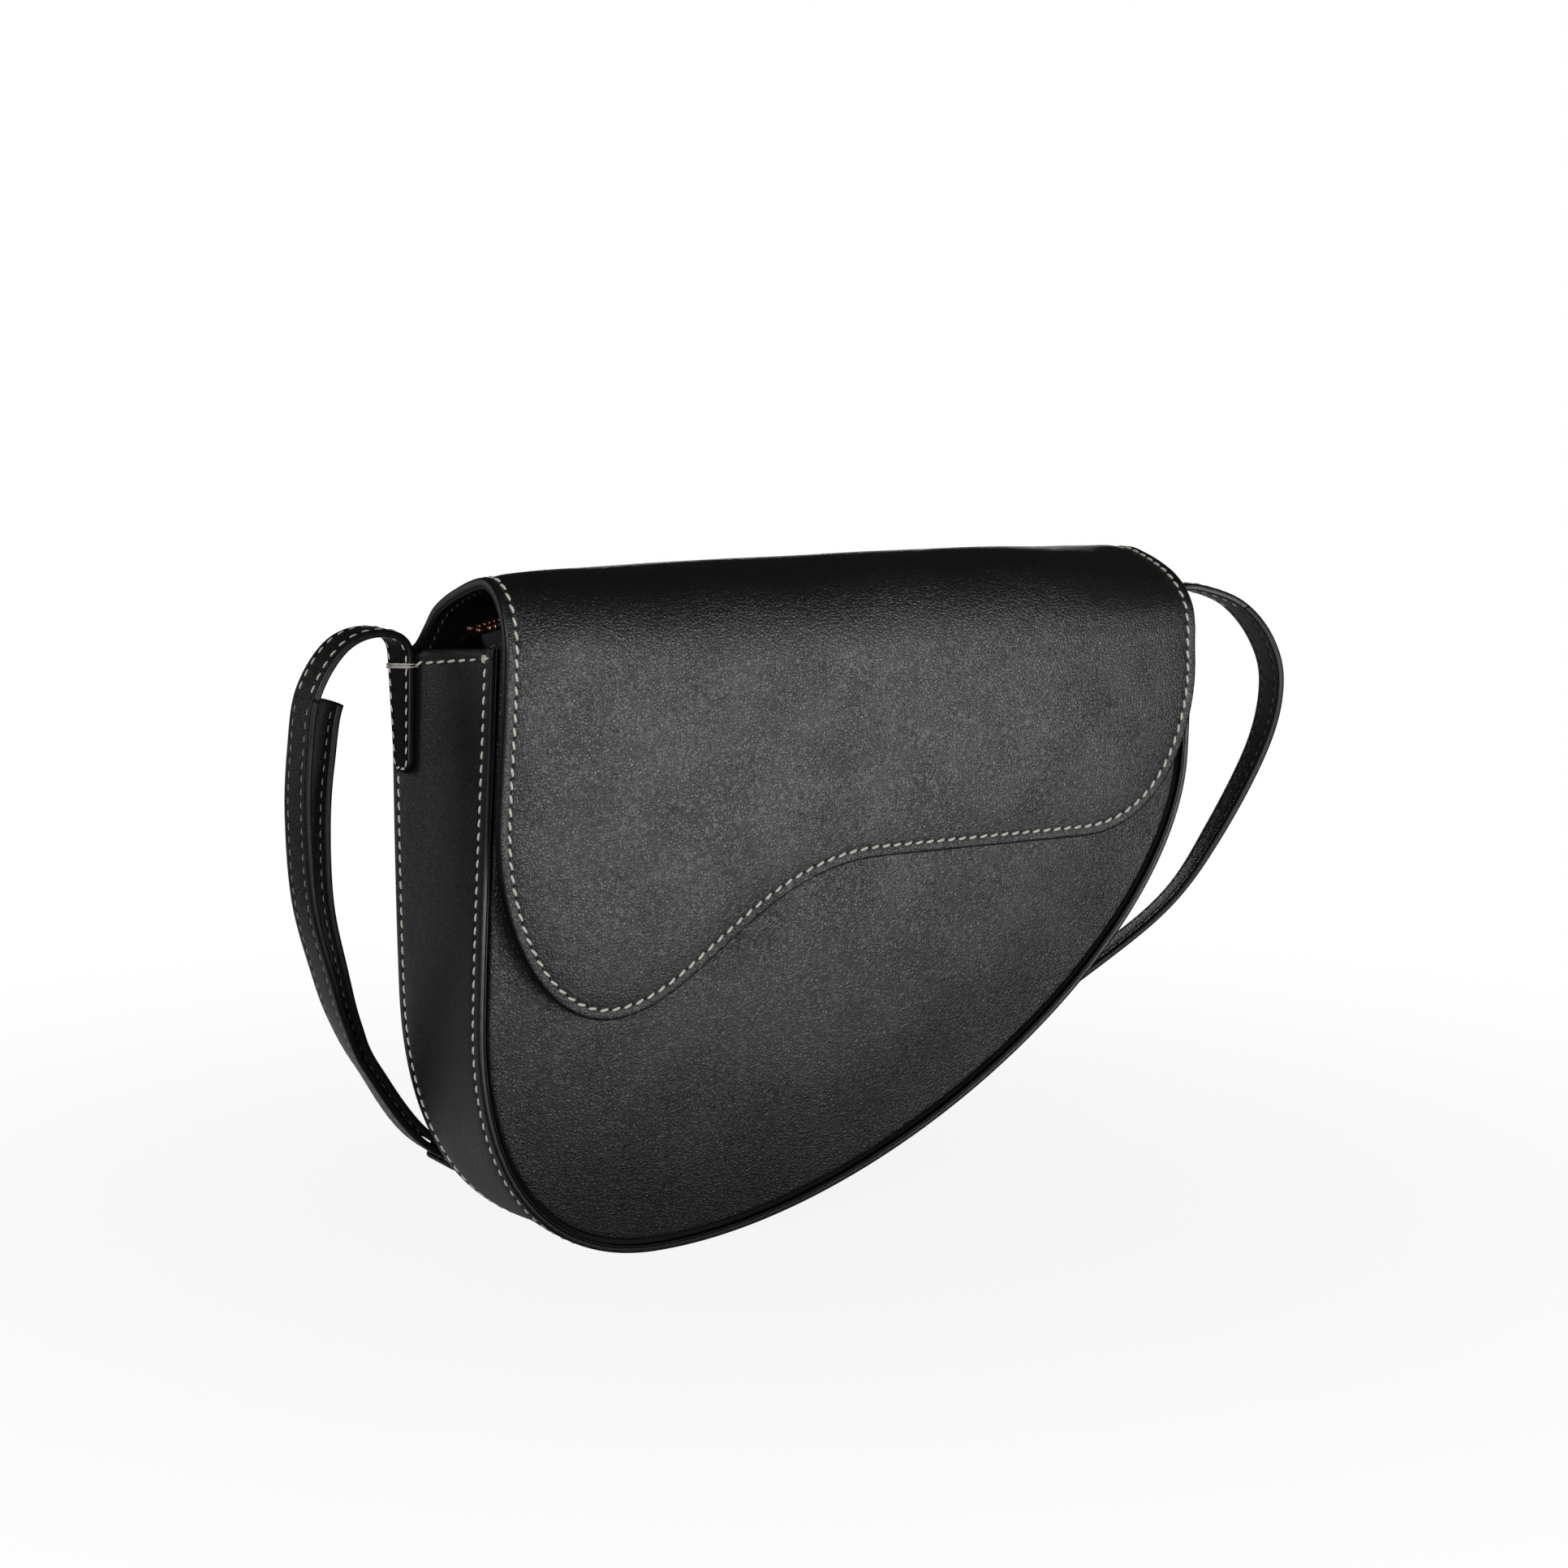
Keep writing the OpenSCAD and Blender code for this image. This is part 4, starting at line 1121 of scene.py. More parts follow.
    def pocket(self) -> Object:
        """The patch pocket on the back lining: a bellied front, two sides and a hemmed mouth.

        Returns:
            The object.
        """
        u, v = np.meshgrid(np.linspace(-1, 1, 50), np.linspace(0, 1, 40), indexing="ij")
        half_w, low_z, tall, flat, belly = 62.0, -118.0, 82.0, 0.6, 6.4
        x, z = u * half_w, low_z + v * tall
        wall = smooth(1 - np.abs(u), 0, 0.09) * smooth(v, 0.0, 0.1)
        y = self.outline.half_depth(z) - self.layers - flat - belly * wall
        face = xyz(x, y - 0.7 * (0.4 + 0.6 * wall) - 0.35 * smooth(v, 0.9, 0.93) * wall, z)
        shell = Shell("slip_pocket_cloth")
        shell.plate(face, xyz(x, y, z))
        obj = self.finish(shell, "lining", "slip_pocket")
        self.declare(obj, face, [Line(k).length for k in (face[:, -1], face[len(face) // 2])])
        return obj

    def build(self) -> list[Object]:
        """All pieces of the body, riding on the bag."""
        made = [self.panel(Side.FRONT), self.panel(Side.BACK), self.gusset(), self.seams()]
        made += [self.lining(side) for side in Side] + [self.facing(side) for side in Side]
        made += [self.gusset_lining(), self.pocket()]
        for obj in made:
            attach(obj, "bag")
        return made


# ---------------------------------------------------------------- flap


@dataclass
class Flap(Part):
    """The flap: an arch that changes from left to right, cut to the wave line."""

    half_w: float = 126.8
    lobe: float = 108.5
    short: float = 66.0
    thick: float = 3.6
    front: float = 40.4
    start: float = 4.5
    border: float = 13.0
    seam_in: float = 3.5

    def __post_init__(self) -> None:
        """Samples the three arches by shares of their length and draws the unrolled outline."""
        middle = [
            [35.0, 0.35], [28.0, 1.94], [2.1, 26.5], [-16.8, 26.5], [-33.1, 26.5], [-40.4, 16.4], [-40.4, 0.0]
        ]
        left = [
            [35.0, 0.35], [27.0, 1.0], [19.5, 3.6], [13.0, 9.2], [6.8, 15.0], [-1.5, 19.4], [-10.3, 22.7],
            [-18.7, 25.3], [-26.9, 26.9], [-32.3, 26.3], [-37.5, 23.2], [-41.8, 17.2], [-44.0, 9.0],
            [-43.6, 0.0],
        ]
        right = [
            [35.0, 0.35], [27.5, 3.4], [20.0, 10.5], [12.0, 18.6], [5.0, 23.2], [-3.0, 24.3],
            [-12.0, 22.6], [-20.0, 20.2], [-27.0, 17.2], [-33.2, 12.6], [-37.2, 6.8], [-38.6, 0.0],
        ]
        lines = [Line(through(left)), Line(cubic_chain(middle)), Line(through(right))]
        self.arches = [line.at(np.linspace(0, 1, 400) * line.length) for line in lines]
        self.side_fronts = (-left[-1][0], -right[-1][0])
        self.rise = lines[1].length
        self.slope = float(np.hypot(1.0, self.outline.taper))
        w, low, short = self.half_w, self.lobe, self.short
        edge = cubic_chain(
            [
                [-w, low * 0.41], [-w, low * 0.74], [-w * 0.86, low], [-w * 0.69, low],
                [-w * 0.45, low], [-w * 0.3, short], [w * 0.06, short], [w * 0.2, short], [w * 0.528, short],
                [w * 0.66, short], [w * 0.89, short], [w, short * 0.62], [w, short * 0.15],
            ]
        )
        edge[:, 1] = self.rise + edge[:, 1] * self.slope
        down = np.linspace(self.start, edge[0, 1], 60, endpoint=False)
        up = np.linspace(edge[-1, 1], self.start, 61)[1:]
        sides = [np.stack([np.full(60, x), a], axis=-1) for x, a in ((-w, down), (w, up))]
        self.edge = Line(np.concatenate([sides[0], edge, sides[1]]) * [1.0, -1.0])

    def base(self, x: Array, a: Array) -> Array:
        """Point of the outer skin at x across and a along the arch from the hinge.

        The three arches are blended by x; below the gusset tops the front runs down the taper and
        the side arches' offsets fade out.

        Args:
            x: Places across.
            a: Lengths along the arch.

        Returns:
            (..., 3) points.
        """
        share = np.clip(a / self.rise, 0, 1)
        left = smooth(-x, 50.0, 126.0) ** 1.3
        right = smooth(x, 40.0, 126.0) ** 1.3
        y = z = 0.0
        for weight, arch in zip((left, 1 - left - right, right), self.arches):
            shares = np.linspace(0, 1, len(arch))
            y = y + weight * np.interp(share, shares, arch[:, 0])
            z = z + weight * np.interp(share, shares, arch[:, 1])
        down = np.maximum(a - self.rise, 0.0) / self.slope
        far_left, far_right = (self.front - k for k in self.side_fronts)
        left_run, right_run = 34.0, 13.0
        side = left * far_left * bell(down, left_run) + right * far_right * bell(down, right_run)
        y = np.where(down > 0, self.outline.taper * down + side - self.front, y)
        return xyz(x, y, np.where(down > 0, -down, z))

    def skin(self, x: Array, a: Array, h: Array) -> Array:
        """The base moved by h along its outward normal."""
        return self.base(x, a) + self.normal(x, a) * np.asarray(h)[..., None]

    def normal(self, x: Array, a: Array) -> Array:
        """Unit normals of the base that look away from the bag, from central differences."""
        e = 0.6
        across = self.base(x + e, a) - self.base(x - e, a)
        along = self.base(x, a + e) - self.base(x, np.maximum(a - e, 0))
        return unit(np.cross(along, across))

    def height(self, d: Array) -> Array:
        """Height of the outer skin by distance d from the cut edge: round edge, seam groove, pillow."""
        groove, edge = -0.34 * bell(d - self.seam_in, 0.75), -0.55 * bell(d, 0.55)
        return groove + edge + 0.8 * smooth(d, self.seam_in, 11.0) + 0.6 * smooth(d, 7.0, 32.0)

    def wave(self, x: Array, a: Array, d: Array) -> Array:
        """Slow unevenness of the leather away from the edge."""
        slow = 0.22 * np.sin(x / 37.0 + a / 51.0) * np.sin(a / 23.0 - x / 90.0)
        nose = 0.2 * np.sin(x / 12.0 + 2 * np.sin(x / 41.0)) * bell(a - self.rise + 26, 16.0)
        return (slow + nose) * smooth(d, 6.0, 24.0)

    def inside(self, inset: float, columns: int, rows: int) -> tuple[Array, Array]:
        """Columns from the hinge down to the inset cut edge.

        Args:
            inset: Distance inside the edge.
            columns: Number across.
            rows: Number down.

        Returns:
            x and a arrays of shape (columns, rows).
        """
        p = self.edge.beside(self.edge.even(0.8), inset)
        p = p[-p[:, 1] > self.rise]
        p = p[np.argsort(p[:, 0])]
        x = -np.cos(np.linspace(0, np.pi, columns))[:, None] * (self.half_w - inset)
        f = np.linspace(0, 1, rows)
        return x + 0 * f, self.start + (np.interp(x, p[:, 0], -p[:, 1]) - self.start) * f

    def leather(self) -> Object:
        """Outer leather: the field in columns and the border with its rounded, painted edge.

        Returns:
            The object.
        """
        shell = Shell("flap_leather_skin")
        x, a = self.inside(self.border - 0.4, 130, 96)
        from_side = self.half_w - np.abs(x)
        d = self.edge.distance(x, -a)
        d = np.where(a < self.start + 8, np.maximum(d, from_side), d)
        d = np.minimum(from_side, np.where(a > self.rise * 0.6, d, np.inf))
        shell.grid(self.skin(x, a, self.height(d) + self.wave(x, a, d)), self.normal(x, a))
        under = [0.9, 0.45, 0.12, 0.0, -0.05, 0.0, 0.1, 0.35, 0.8]
        low = [-3.5, -3.4, -3.0, -2.4, -1.7, -1.1, -0.6, -0.25, -0.05]
        over = np.array([1.4, 2.2, 2.8, 3.2, 3.5, 3.8, 4.2, 5.0, 6.5, 9.0, 13.0])
        d = np.append(under, over)
        p = self.edge.beside(self.edge.even(1.6)[:, None], d)
        x, a = p[..., 0], np.maximum(-p[..., 1], self.start)
        h = np.append(low, self.height(over)) + self.wave(x, a, d)
        ring = self.skin(x, np.maximum(-p[..., 1], self.start - 0.2), h)
        shell.grid(ring, self.normal(x, a), np.repeat([1, 0], [8, 11]))
        return self.finish(shell, "leather edge", "flap_leather")

    def lining(self) -> Object:
        """Inner leather of the flap, flesh side out, in the flesh finish that is darkened as painted shade.

        Returns:
            The object.
        """
        shell = Shell("flap_lining_leather")
        x, a = self.inside(0.7, 90, 70)
        for deep, way in ((0.1, -1), (0.9, 1)):
            shell.grid(self.skin(x, a, deep - self.thick), way * self.normal(x, a))
        return self.finish(shell, "flesh", "flap_lining")

    def board(self) -> Object:
        """The stiffening board between leather and lining, from the fold's front edge down.

        Returns:
            The object.
        """
        inset, rows = 6.4, 30
        x, a = self.inside(inset, 70, rows)
        top = self.rise + 0.6
        a = top + np.maximum(a[:, -1:] - top, 0.5) * np.linspace(0, 1, rows)
        shell = Shell("flap_board_fibre")
        shell.plate(self.skin(x, a, -1.5), self.skin(x, a, -2.5))
        return self.finish(shell, "board", "flap_board")

    def seams(self) -> Object:
        """Stitches inside the cut edge, pale outside; on the lining the same thread is dimmed as painted
        shade.

        Returns:
            The object.
        """
        shell = Shell("flap_stitches")
        p = self.edge.beside(self.edge.even(1.2, 1.5, self.edge.length - 1.5), self.seam_in)
        x, a = p[:, 0], np.maximum(-p[:, 1], self.start)
        normal = self.normal(x, a)
        count = Seam(Thread()).sew(shell, self.skin(x, a, -0.3), normal)
        Seam(Thread(length=2.5, radius=0.22), 2, 1).sew(shell, self.skin(x, a, 0.1 - self.thick), -normal)
        LOG.info("flap_stitches: %d stitches", count)
        return self.finish(shell, "thread pit grey_thread")

    def fold(self) -> Object:
        """The leather between the sewn root and the flap, made as one fixed shape; the real leather bends as
        the flap opens.

        The profile runs up the back, over the fold and on along the arch.

        Returns:
            The object.
        """
        x = np.linspace(-1, 1, 80)[:, None] * (self.half_w - 0.4)
        arch = self.skin(x, np.linspace(0.2, self.start + 0.6, 7)[None], 0.02)
        y, z = np.array([[34.5, -6.0], [34.7, -3.0], [34.82, -1.4], [34.92, -0.5]]).T
        outer = np.concatenate([xyz(x, y, z), arch], axis=1)
        away = np.repeat([[0.0, 1.0, 0.2], [0.0, 0.4, 1.0]], [len(y), arch.shape[1]], axis=0)
        inner = outer + [0.0, -1.5, -0.4]
        inner[:, len(y) :, 2] -= 1.0
        shell = Shell("flap_fold_leather")
        shell.grid(outer, away)
        shell.grid(inner, -away)
        return self.finish(shell, "leather")

    def root(self) -> Object:
        """The sewn strip on the back panel, with rounded lower edge and one seam.

        Returns:
            The object.
        """
        seam_z = -20.5
        z = np.array([-24, -24, -23.7, -23, -21.5, seam_z, -19.5, -17, -12, -6, -0.4])[:, None]
        proud = np.array([1.9, 1.1, 0.5, 0.12, 0.06, 0.28, 0.06, 0.03, 0.02, 0.02, 0.05])[:, None]
        half = np.array([123.6, 123.6, 123.7] + [123.8] * 8)[:, None]
        u = np.linspace(-1, 1, 70)
        shell = Shell("flap_root_leather")
        shell.grid(xyz(half * u, self.outline.half_depth(z) - proud, z), [0.0, 1.0, 0.0])
        self.level_seam(shell, u * 122.0, self.outline.half_depth(seam_z) - 0.16, seam_z, 1.0)
        return self.finish(shell, "leather thread pit", "flap_root")

    def build(self) -> list[Object]:
        """All pieces of the flap."""
        moving = [self.leather(), self.lining(), self.board(), self.seams()]
        for obj in moving:
            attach(obj, "flap")
        fold, root = self.fold(), self.root()
        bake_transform(fold)
        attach(root, "bag")
        return [*moving, fold, root]


# ---------------------------------------------------------------- zip


@dataclass
class Zip(Part):
    """The open zip under the flap: leather carriers, woven tapes and two rows of teeth."""

    length: float = 238.0
    middle: float = -8.0
    pitch: float = 1.7
    low_z: float = 9.0
    climb: float = 3.4
    apart: float = 2.8
    swing: float = 4.2

    def row(self, s: Array, side: Side) -> Array:
        """A row of teeth: y swings out by the root of a sine, z rises quickly from the left end."""
        z = self.low_z + self.climb * (1 - np.maximum(0, 1 - s / 0.1) ** 2)
        out = self.apart + self.swing * np.sqrt(np.clip(np.sin(np.pi * s), 0, 1))
        y = self.middle + side.value * out
        return xyz(self.length * (s - 0.5), y, z)

    def strip(self, side: Side) -> list[Object]:
        """One carrier and one tape, both ruled from the facing up to the row of teeth.

        Args:
            side: The front or the back row.

        Returns:
            The two objects.
        """
        top = self.row(np.linspace(0, 1, 81), side)
        foot_z, lining, sag, thick = -8.0, 6.3, 0.5, 1.1
        foot_y = side.value * (float(self.outline.half_depth(foot_z)) - lining)
        foot = xyz(top[:, 0], foot_y, foot_z)
        f = np.linspace(0, 1, 14)
        ruled = foot[:, None] + (top - foot)[:, None] * f[:, None]
        ruled[..., 2] -= sag * np.sin(np.pi * f) + 0.95
        carrier = Shell(f"zip_panel_{side.word}_leather")
        carrier.tube(np.concatenate([ruled, ruled[:, ::-1] - [0, 0, thick]], axis=1))
        along = unit(foot - top)
        up = unit(np.cross(np.broadcast_to([1.0, 0, 0], along.shape), along) * side.value)
        w = [1.2, 1.3, 2.2, 2.5, 3.4, 5.0, 7.0, 8.3, 8.4]
        h = [0.2, 0.5, 0.62, 0.5, 0.6, 0.55, 0.5, 0.4, 0.1]
        tape = Shell(f"zip_tape_{side.word}_weave")
        tape.tube(sweep(top, along, up, np.stack([w + w[::-1], h + [-0.02] * len(w)], axis=-1)))
        Seam(Thread(pitch=3.2, length=2.3, radius=0.2), 1, 2).sew(tape, top + along * 6.4 + up * 0.5, up)
        return [
            self.finish(carrier, "flesh", f"zip_panel_{side.word}"),
            self.finish(tape, "tape grey_thread pit", f"zip_tape_{side.word}"),
        ]

    def teeth(self, side: Side) -> Object:
        """One row of teeth: each a rounded block, an oval whose ends draw in.

        Args:
            side: The front or the back row.

        Returns:
            The object.
        """
        count = int(self.length // self.pitch) - 2
        s = 0.5 + (np.arange(count) - (count - 1) / 2) * self.pitch / self.length
        y = np.array([-1.0, -1.0, -0.85, 0.1, 0.35, 0.75, 1.0, 1.0])[:, None]
        r = np.array([0.05, 0.8, 1.0, 1.0, 0.75, 0.8, 0.55, 0.05])[:, None]
        turn = circle(8) + np.pi / 8
        half_w, half_len, half_h = 0.45, 1.3, 0.85
        block = xyz(half_w * r * np.cos(turn), half_len * y, half_h * r * np.sin(turn)).reshape(-1, 3)
        shape = block, grid_faces(len(r), len(turn)), np.zeros((len(block), 2))
        axes = np.tile(np.diag([-side.value, -side.value, 1.0]), (count, 1, 1))
        shell = Shell(f"zip_teeth_{side.word}_metal")
        shell.copies(shape, self.row(s, side) + [0, 0, 0.5], axes)
        return self.finish(shell, "copper", f"zip_teeth_{side.word}")

    def stops(self) -> Object:
        """Four small staples that end the rows: rounded boxes round the tape's bead.

        Returns:
            The object.
        """
        shell = Shell("zip_end_stops_metal")
        half_len, box = 0.8, round_box(2.2, 1.3, 0.4, 3)
        across, up = np.tile([0.0, 1.0, 0.0], (5, 1)), np.tile([0.0, 0.0, 1.0], (5, 1))
        for side in Side:
            for share, way in ((0.002, -1), (0.998, 1)):
                x = way * 0.6 + np.linspace(-half_len, half_len, 5)
                place = self.row(np.array([share]), side) + xyz(x, 0.0, 0.5)
                shell.tube(closed_ends(sweep(place, across, up, box), 0.25))
        return self.finish(shell, "copper", "zip_end_stops")

    def build(self) -> list[Object]:
        """All new pieces of the zip, riding on the bag."""
        made = [obj for side in Side for obj in self.strip(side)]
        made += [self.teeth(side) for side in Side] + [self.stops()]
        for obj in made:
            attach(obj, "bag")
        return made


# ---------------------------------------------------------------- strap


@dataclass
class Strap(Part):
    """The shoulder strap behind the bag, its tail, buckle, keepers and the two sewn tabs."""

    width: float = 16.0
    thick: float = 2.4
    rise: float = 7.2
    middle_y: float = 24.0
    lean: float = 15.05
    drop: float = 183.0
    buckle_row: float = 11.0
    fixed_row: float = 10.35
    sliding_row: float = 9.3
    tip_row: float = 2.04
    bar_lap: float = 2.8
    left_gap: float = 1.95
    tail_lift: float = 2.8
    tail_room: float = 1.08
    over_bar: float = 5.05
    under_bar: float = -3.3
    joins: tuple[float, float] = (2.1, 2.15)
    edge_in: float = 0.35
    seam_share: float = 0.62

    def __post_init__(self) -> None:
        """Rows of the loop: shares of half the width, of the lean and of the drop, and the twist."""
        shares = np.array(
            [
                [-1.090, 0, 0, 0], [-1.180, 0, 0.022, 0], [-1.252, 0, 0.095, 0], [-1.275, 0.02, 0.190, 0],
                [-1.280, 0.10, 0.305, -1], [-1.262, 0.20, 0.450, -1], [-1.210, 0.36, 0.575, 0],
                [-1.160, 0.58, 0.664, 4], [-1.085, 0.82, 0.755, 10], [-0.915, 0.99, 0.905, 4],
                [-0.640, 1.02, 0.976, 0], [-0.330, 1, 1, 0], [0, 1, 0.990, 0], [0.360, 1, 0.942, 4],
                [0.730, 0.97, 0.850, 14], [1.100, 0.78, 0.720, 24], [1.330, 0.50, 0.609, 26],
                [1.465, 0.22, 0.478, 19], [1.563, -0.26, 0.315, 16], [1.575, -0.60, 0.192, 12],
                [1.541, -0.55, 0.105, 8], [1.462, -0.30, 0.036, 6], [1.340, -0.06, 0.003, 1],
                [1.240, 0, 0, 0],
            ]
        )
        scale = [self.outline.half_w, self.lean, -self.drop, 1.0]
        rows = [0.0, self.middle_y, self.rise, 0.0] + shares * scale
        first, last = ([2 * a[0] - b[0], b[1], b[2], 0.0] for a, b in (rows[:2], rows[:-3:-1]))
        self.rows = np.concatenate([[first], rows, [last]])
        self.last_row = len(rows) - 1

    def at(self, i: Array) -> Array:
        """Place and twist of the loop at row i, on a Catmull-Rom curve through the rows."""
        i = np.asarray(i, float)
        k = np.clip(np.floor(i).astype(int), 0, self.last_row - 1)
        return catmull(*(self.rows[k + n] for n in range(4)), (i - k)[..., None])

    def axes(self, i: Array) -> tuple[Array, Array, Array, Array]:
        """Middle, direction, across and inside vectors of the strap at rows i."""
        e = 0.02
        p = self.at(i)
        t = unit((self.at(np.minimum(i + e, self.last_row)) - self.at(np.maximum(i - e, 0)))[..., :3])
        twist = np.radians(p[..., 3])
        v = xyz(np.sin(twist), np.cos(twist), 0.0)
        v = unit(v - t * (v * t).sum(-1, keepdims=True))
        return p[..., :3], t, v, np.cross(t, v)

    def per_row(self, i: float) -> float:
        """Rows of the table that span one millimetre near row i."""
        k = int(i)
        return 1.0 / float(np.linalg.norm((self.at(k + 1.0) - self.at(float(k)))[:3]))

    def section(self) -> tuple[Array, Array]:
        """Strap section: two flat faces with a slight crown and seam dips, and rounded edges.

        Returns:
            (n, 2) points, and the slot of each of the n sides: 0 outer face, 1 edge, 2 inner face.
        """
        h, flat = self.thick / 2, self.width / 2 - self.edge_in
        x = np.array([0.45, 0.58, self.seam_share, 0.66, 0.8, 0.93, 1])
        y = np.array([1.02, 0.97, 0.86, 0.97, 1, 0.97, 0.86])
        x, y = np.concatenate([-x[::-1], [0], x]), np.concatenate([y[::-1], [1.06], y])
        top = np.stack([x * flat, h * y], axis=-1)
        turn = np.linspace(0, np.pi, 7)[1:-1]
        right = np.stack([flat + 0.38 * np.sin(turn), h * 0.86 * np.cos(turn)], axis=-1)
        points = np.concatenate([top, right, top[::-1] * [1, -1], right[::-1] * [-1, 1]])
        return points, np.repeat([2, 1, 0, 1], [len(top) - 1, 6, len(top) - 1, 6])

    def band(self, name: str, rows: Array, lift: Array) -> Object:
        """A length of strap between rows, lifted to the inside of the loop, with its four seams.

        Args:
            name: Name of the CAD node.
            rows: Rows of the loop.
            lift: Lift at each row.

        Returns:
            The object.
        """
        p, _, v, n = self.axes(rows)
        section, slots = self.section()
        path = p + n * lift[:, None]
        shell = Shell(f"{name}_leather")
        shell.tube(closed_ends(sweep(path, v, n, section), 0.5), slots)
        # outer seams take the strap's dimmed thread, inner seams the darker dimmed thread: both painted shade
        outer = Seam(Thread(length=2.9, radius=0.3, slant=0.1), 3, 4)
        inner = Seam(Thread(length=2.7, radius=0.22), 5, 4)
        trim = slice(2, -2)
        for k in (-1, 1):
            line = path + v * (self.seam_share * (self.width / 2 - self.edge_in) * k)
            outer.sew(shell, (line - n * 0.84)[trim], -n[trim], k)
            inner.sew(shell, (line + n * 0.95)[trim], n[trim], k)
        return self.finish(shell, "strap strap_edge strap_inner strap_thread pit grey_thread", name)

    def branches(self) -> list[Object]:
        """The left half, the right half, which bends over and under the buckle, and the tail."""
        b, step = self.buckle_row, self.per_row(self.buckle_row)
        end, tip = b - self.bar_lap * step, self.tip_row
        left = np.linspace(self.joins[0], b - self.left_gap * step, 150)
        right = np.linspace(end, self.last_row - self.joins[1], 170)
        heights = [self.over_bar, self.over_bar - 0.2, self.under_bar, self.under_bar, 0, 0]
        right_lift = np.interp((right - b) / step, [-2.8, 1.1, 14.4, 24.4, 54.0, 72.0], heights)
        tail = np.linspace(tip, end, 120)
        places = [0, 0.12, 0.27, 0.45, 0.6, 0.7, 1]
        apart = [2.8, 2.6, 2.1, 1.5, 1.15, self.tail_room, self.tail_room]
        tail_lift = self.tail_lift * np.interp((tail - tip) / (end - tip), places, apart)
        near, ramp = (end - tail) / step, 12.6
        to_bar = self.over_bar + (self.tail_lift - self.over_bar) * near / ramp
        return [
            self.band("strap_left", left, 0 * left),
            self.band("strap_right", right, right_lift),
            self.band("strap_tail", tail, np.where(near < ramp, to_bar, tail_lift)),
        ]

    def tab_line(self, side: Hand, top_x: float) -> tuple[Array, Array, int]:
        """The tab's line from its foot up the wall and over the arch to the loop's first row.

        Args:
            side: Left or right.
            top_x: Distance of the loop's first row from the middle.

        Returns:
            (n, 3) points, their n widths, and the number of points on the wall.
        """
        top_z, reach, foot_w = -1.5, 34.5, 10.5
        line = self.outline.line.points
        wall = line[(line[:, 0] * side.value > 0) & (line[:, 1] > -90)]
        wall = wall[np.argsort(wall[:, 1])]
        z = top_z - reach * (1 - np.append([0, 0.012, 0.03, 0.055, 0.085], np.linspace(0.13, 1, 17)))
        x = np.interp(z, wall[:, 1], np.abs(wall[:, 0])) + 0.25 + self.thick / 2
        wide = foot_w + (self.width - foot_w) * (z - z[0]) / reach
        start, rise = x[-1], self.rise
        arch = cubic_chain(
            [[start, top_z], [start, rise * 0.7], [start + (top_x - start) * 0.4, rise], [top_x, rise]], 20
        )[1:-1]
        points = xyz(side.value * np.append(x, arch[:, 0]), self.middle_y, np.append(z, arch[:, 1]))
        points[: len(z), 1] -= (self.width - wide) / 2
        wide = wide * (1 - 0.4 * (1 - np.clip((z - z[0]) / 3.0, 0, 1)) ** 2)
        return points, np.append(wide, np.full(len(arch), self.width)), len(z)

    def tab(self, side: Hand) -> Object:
        """A sewn tab, the arch over it and the first of the strap with its twist, made as one fixed shape;
        the real strap swings.

        Args:
            side: Left or right.

        Returns:
            The object.
        """
        left = side is Hand.LEFT
        ends = (0.0, self.joins[0] + 0.02) if left else (self.last_row, self.last_row - self.joins[1] - 0.02)
        p, _, v, n = self.axes(np.linspace(*ends, 28))
        first, wide, on_wall = self.tab_line(side, abs(p[0, 0]))
        over = np.broadcast_to([0.0, 1.0, 0.0], first.shape)
        points, across = np.concatenate([first, p]), np.concatenate([over, v])
        inside = np.concatenate([-side.value * np.cross(unit(np.gradient(first, axis=0)), over), n])
        width = np.append(wide, np.full(len(p), self.width))
        section, slots = self.section()
        section = section * np.stack([width / self.width, np.ones(len(width))], axis=-1)[:, None]
        shell = Shell(f"strap_tab_{side.word}_leather")
        shell.tube(closed_ends(sweep(points, across, inside, section), 0.6), slots)
        shares = np.interp(np.arange(len(width)), [on_wall - 1, len(first) + 9], [0.82, self.seam_share])
        seam_at = shares * (width / 2 - self.edge_in)
        seam, trim, free = Seam(Thread(radius=0.36), 3, 4), slice(2, -1), slice(on_wall + 1, -1)
        proud = 0.9
        for k in (-1, 1):
            line = points + across * (seam_at * k)[:, None]
            seam.sew(shell, (line + inside * proud)[trim], inside[trim], k)
            seam.sew(shell, (line - inside * proud)[free], -inside[free], k)
        bar = points[2] + inside[2] * 0.95 + np.linspace(-seam_at[2], seam_at[2], 6)[:, None] * across[2]
        seam.sew(shell, bar, np.broadcast_to(inside[2], bar.shape))
        k = on_wall - 3
        reach = np.array([-9.0, -8.4, -7.4, 0.0, 7.6])[:, None]
        dip = np.array([-2.6, -0.7, 0.0, 0.1, -0.1])[:, None]
        tack = points[k + 1] + (1.25 + dip) * inside[k] + reach * (across[k] - [0, 0, 0.09])
        for drop in (-0.82, 0.02):
            shell.cord(tack + [0, 0, drop], inside[k], 0.42, 3)
        return self.finish(shell, "strap edge strap_inner thread pit grey_thread", f"strap_tab_{side.word}")

    def place(self, i: float) -> list[Array]:
        """Middle, along, across and inside vectors at one row."""
        return [k[0] for k in self.axes(np.array([i]))]

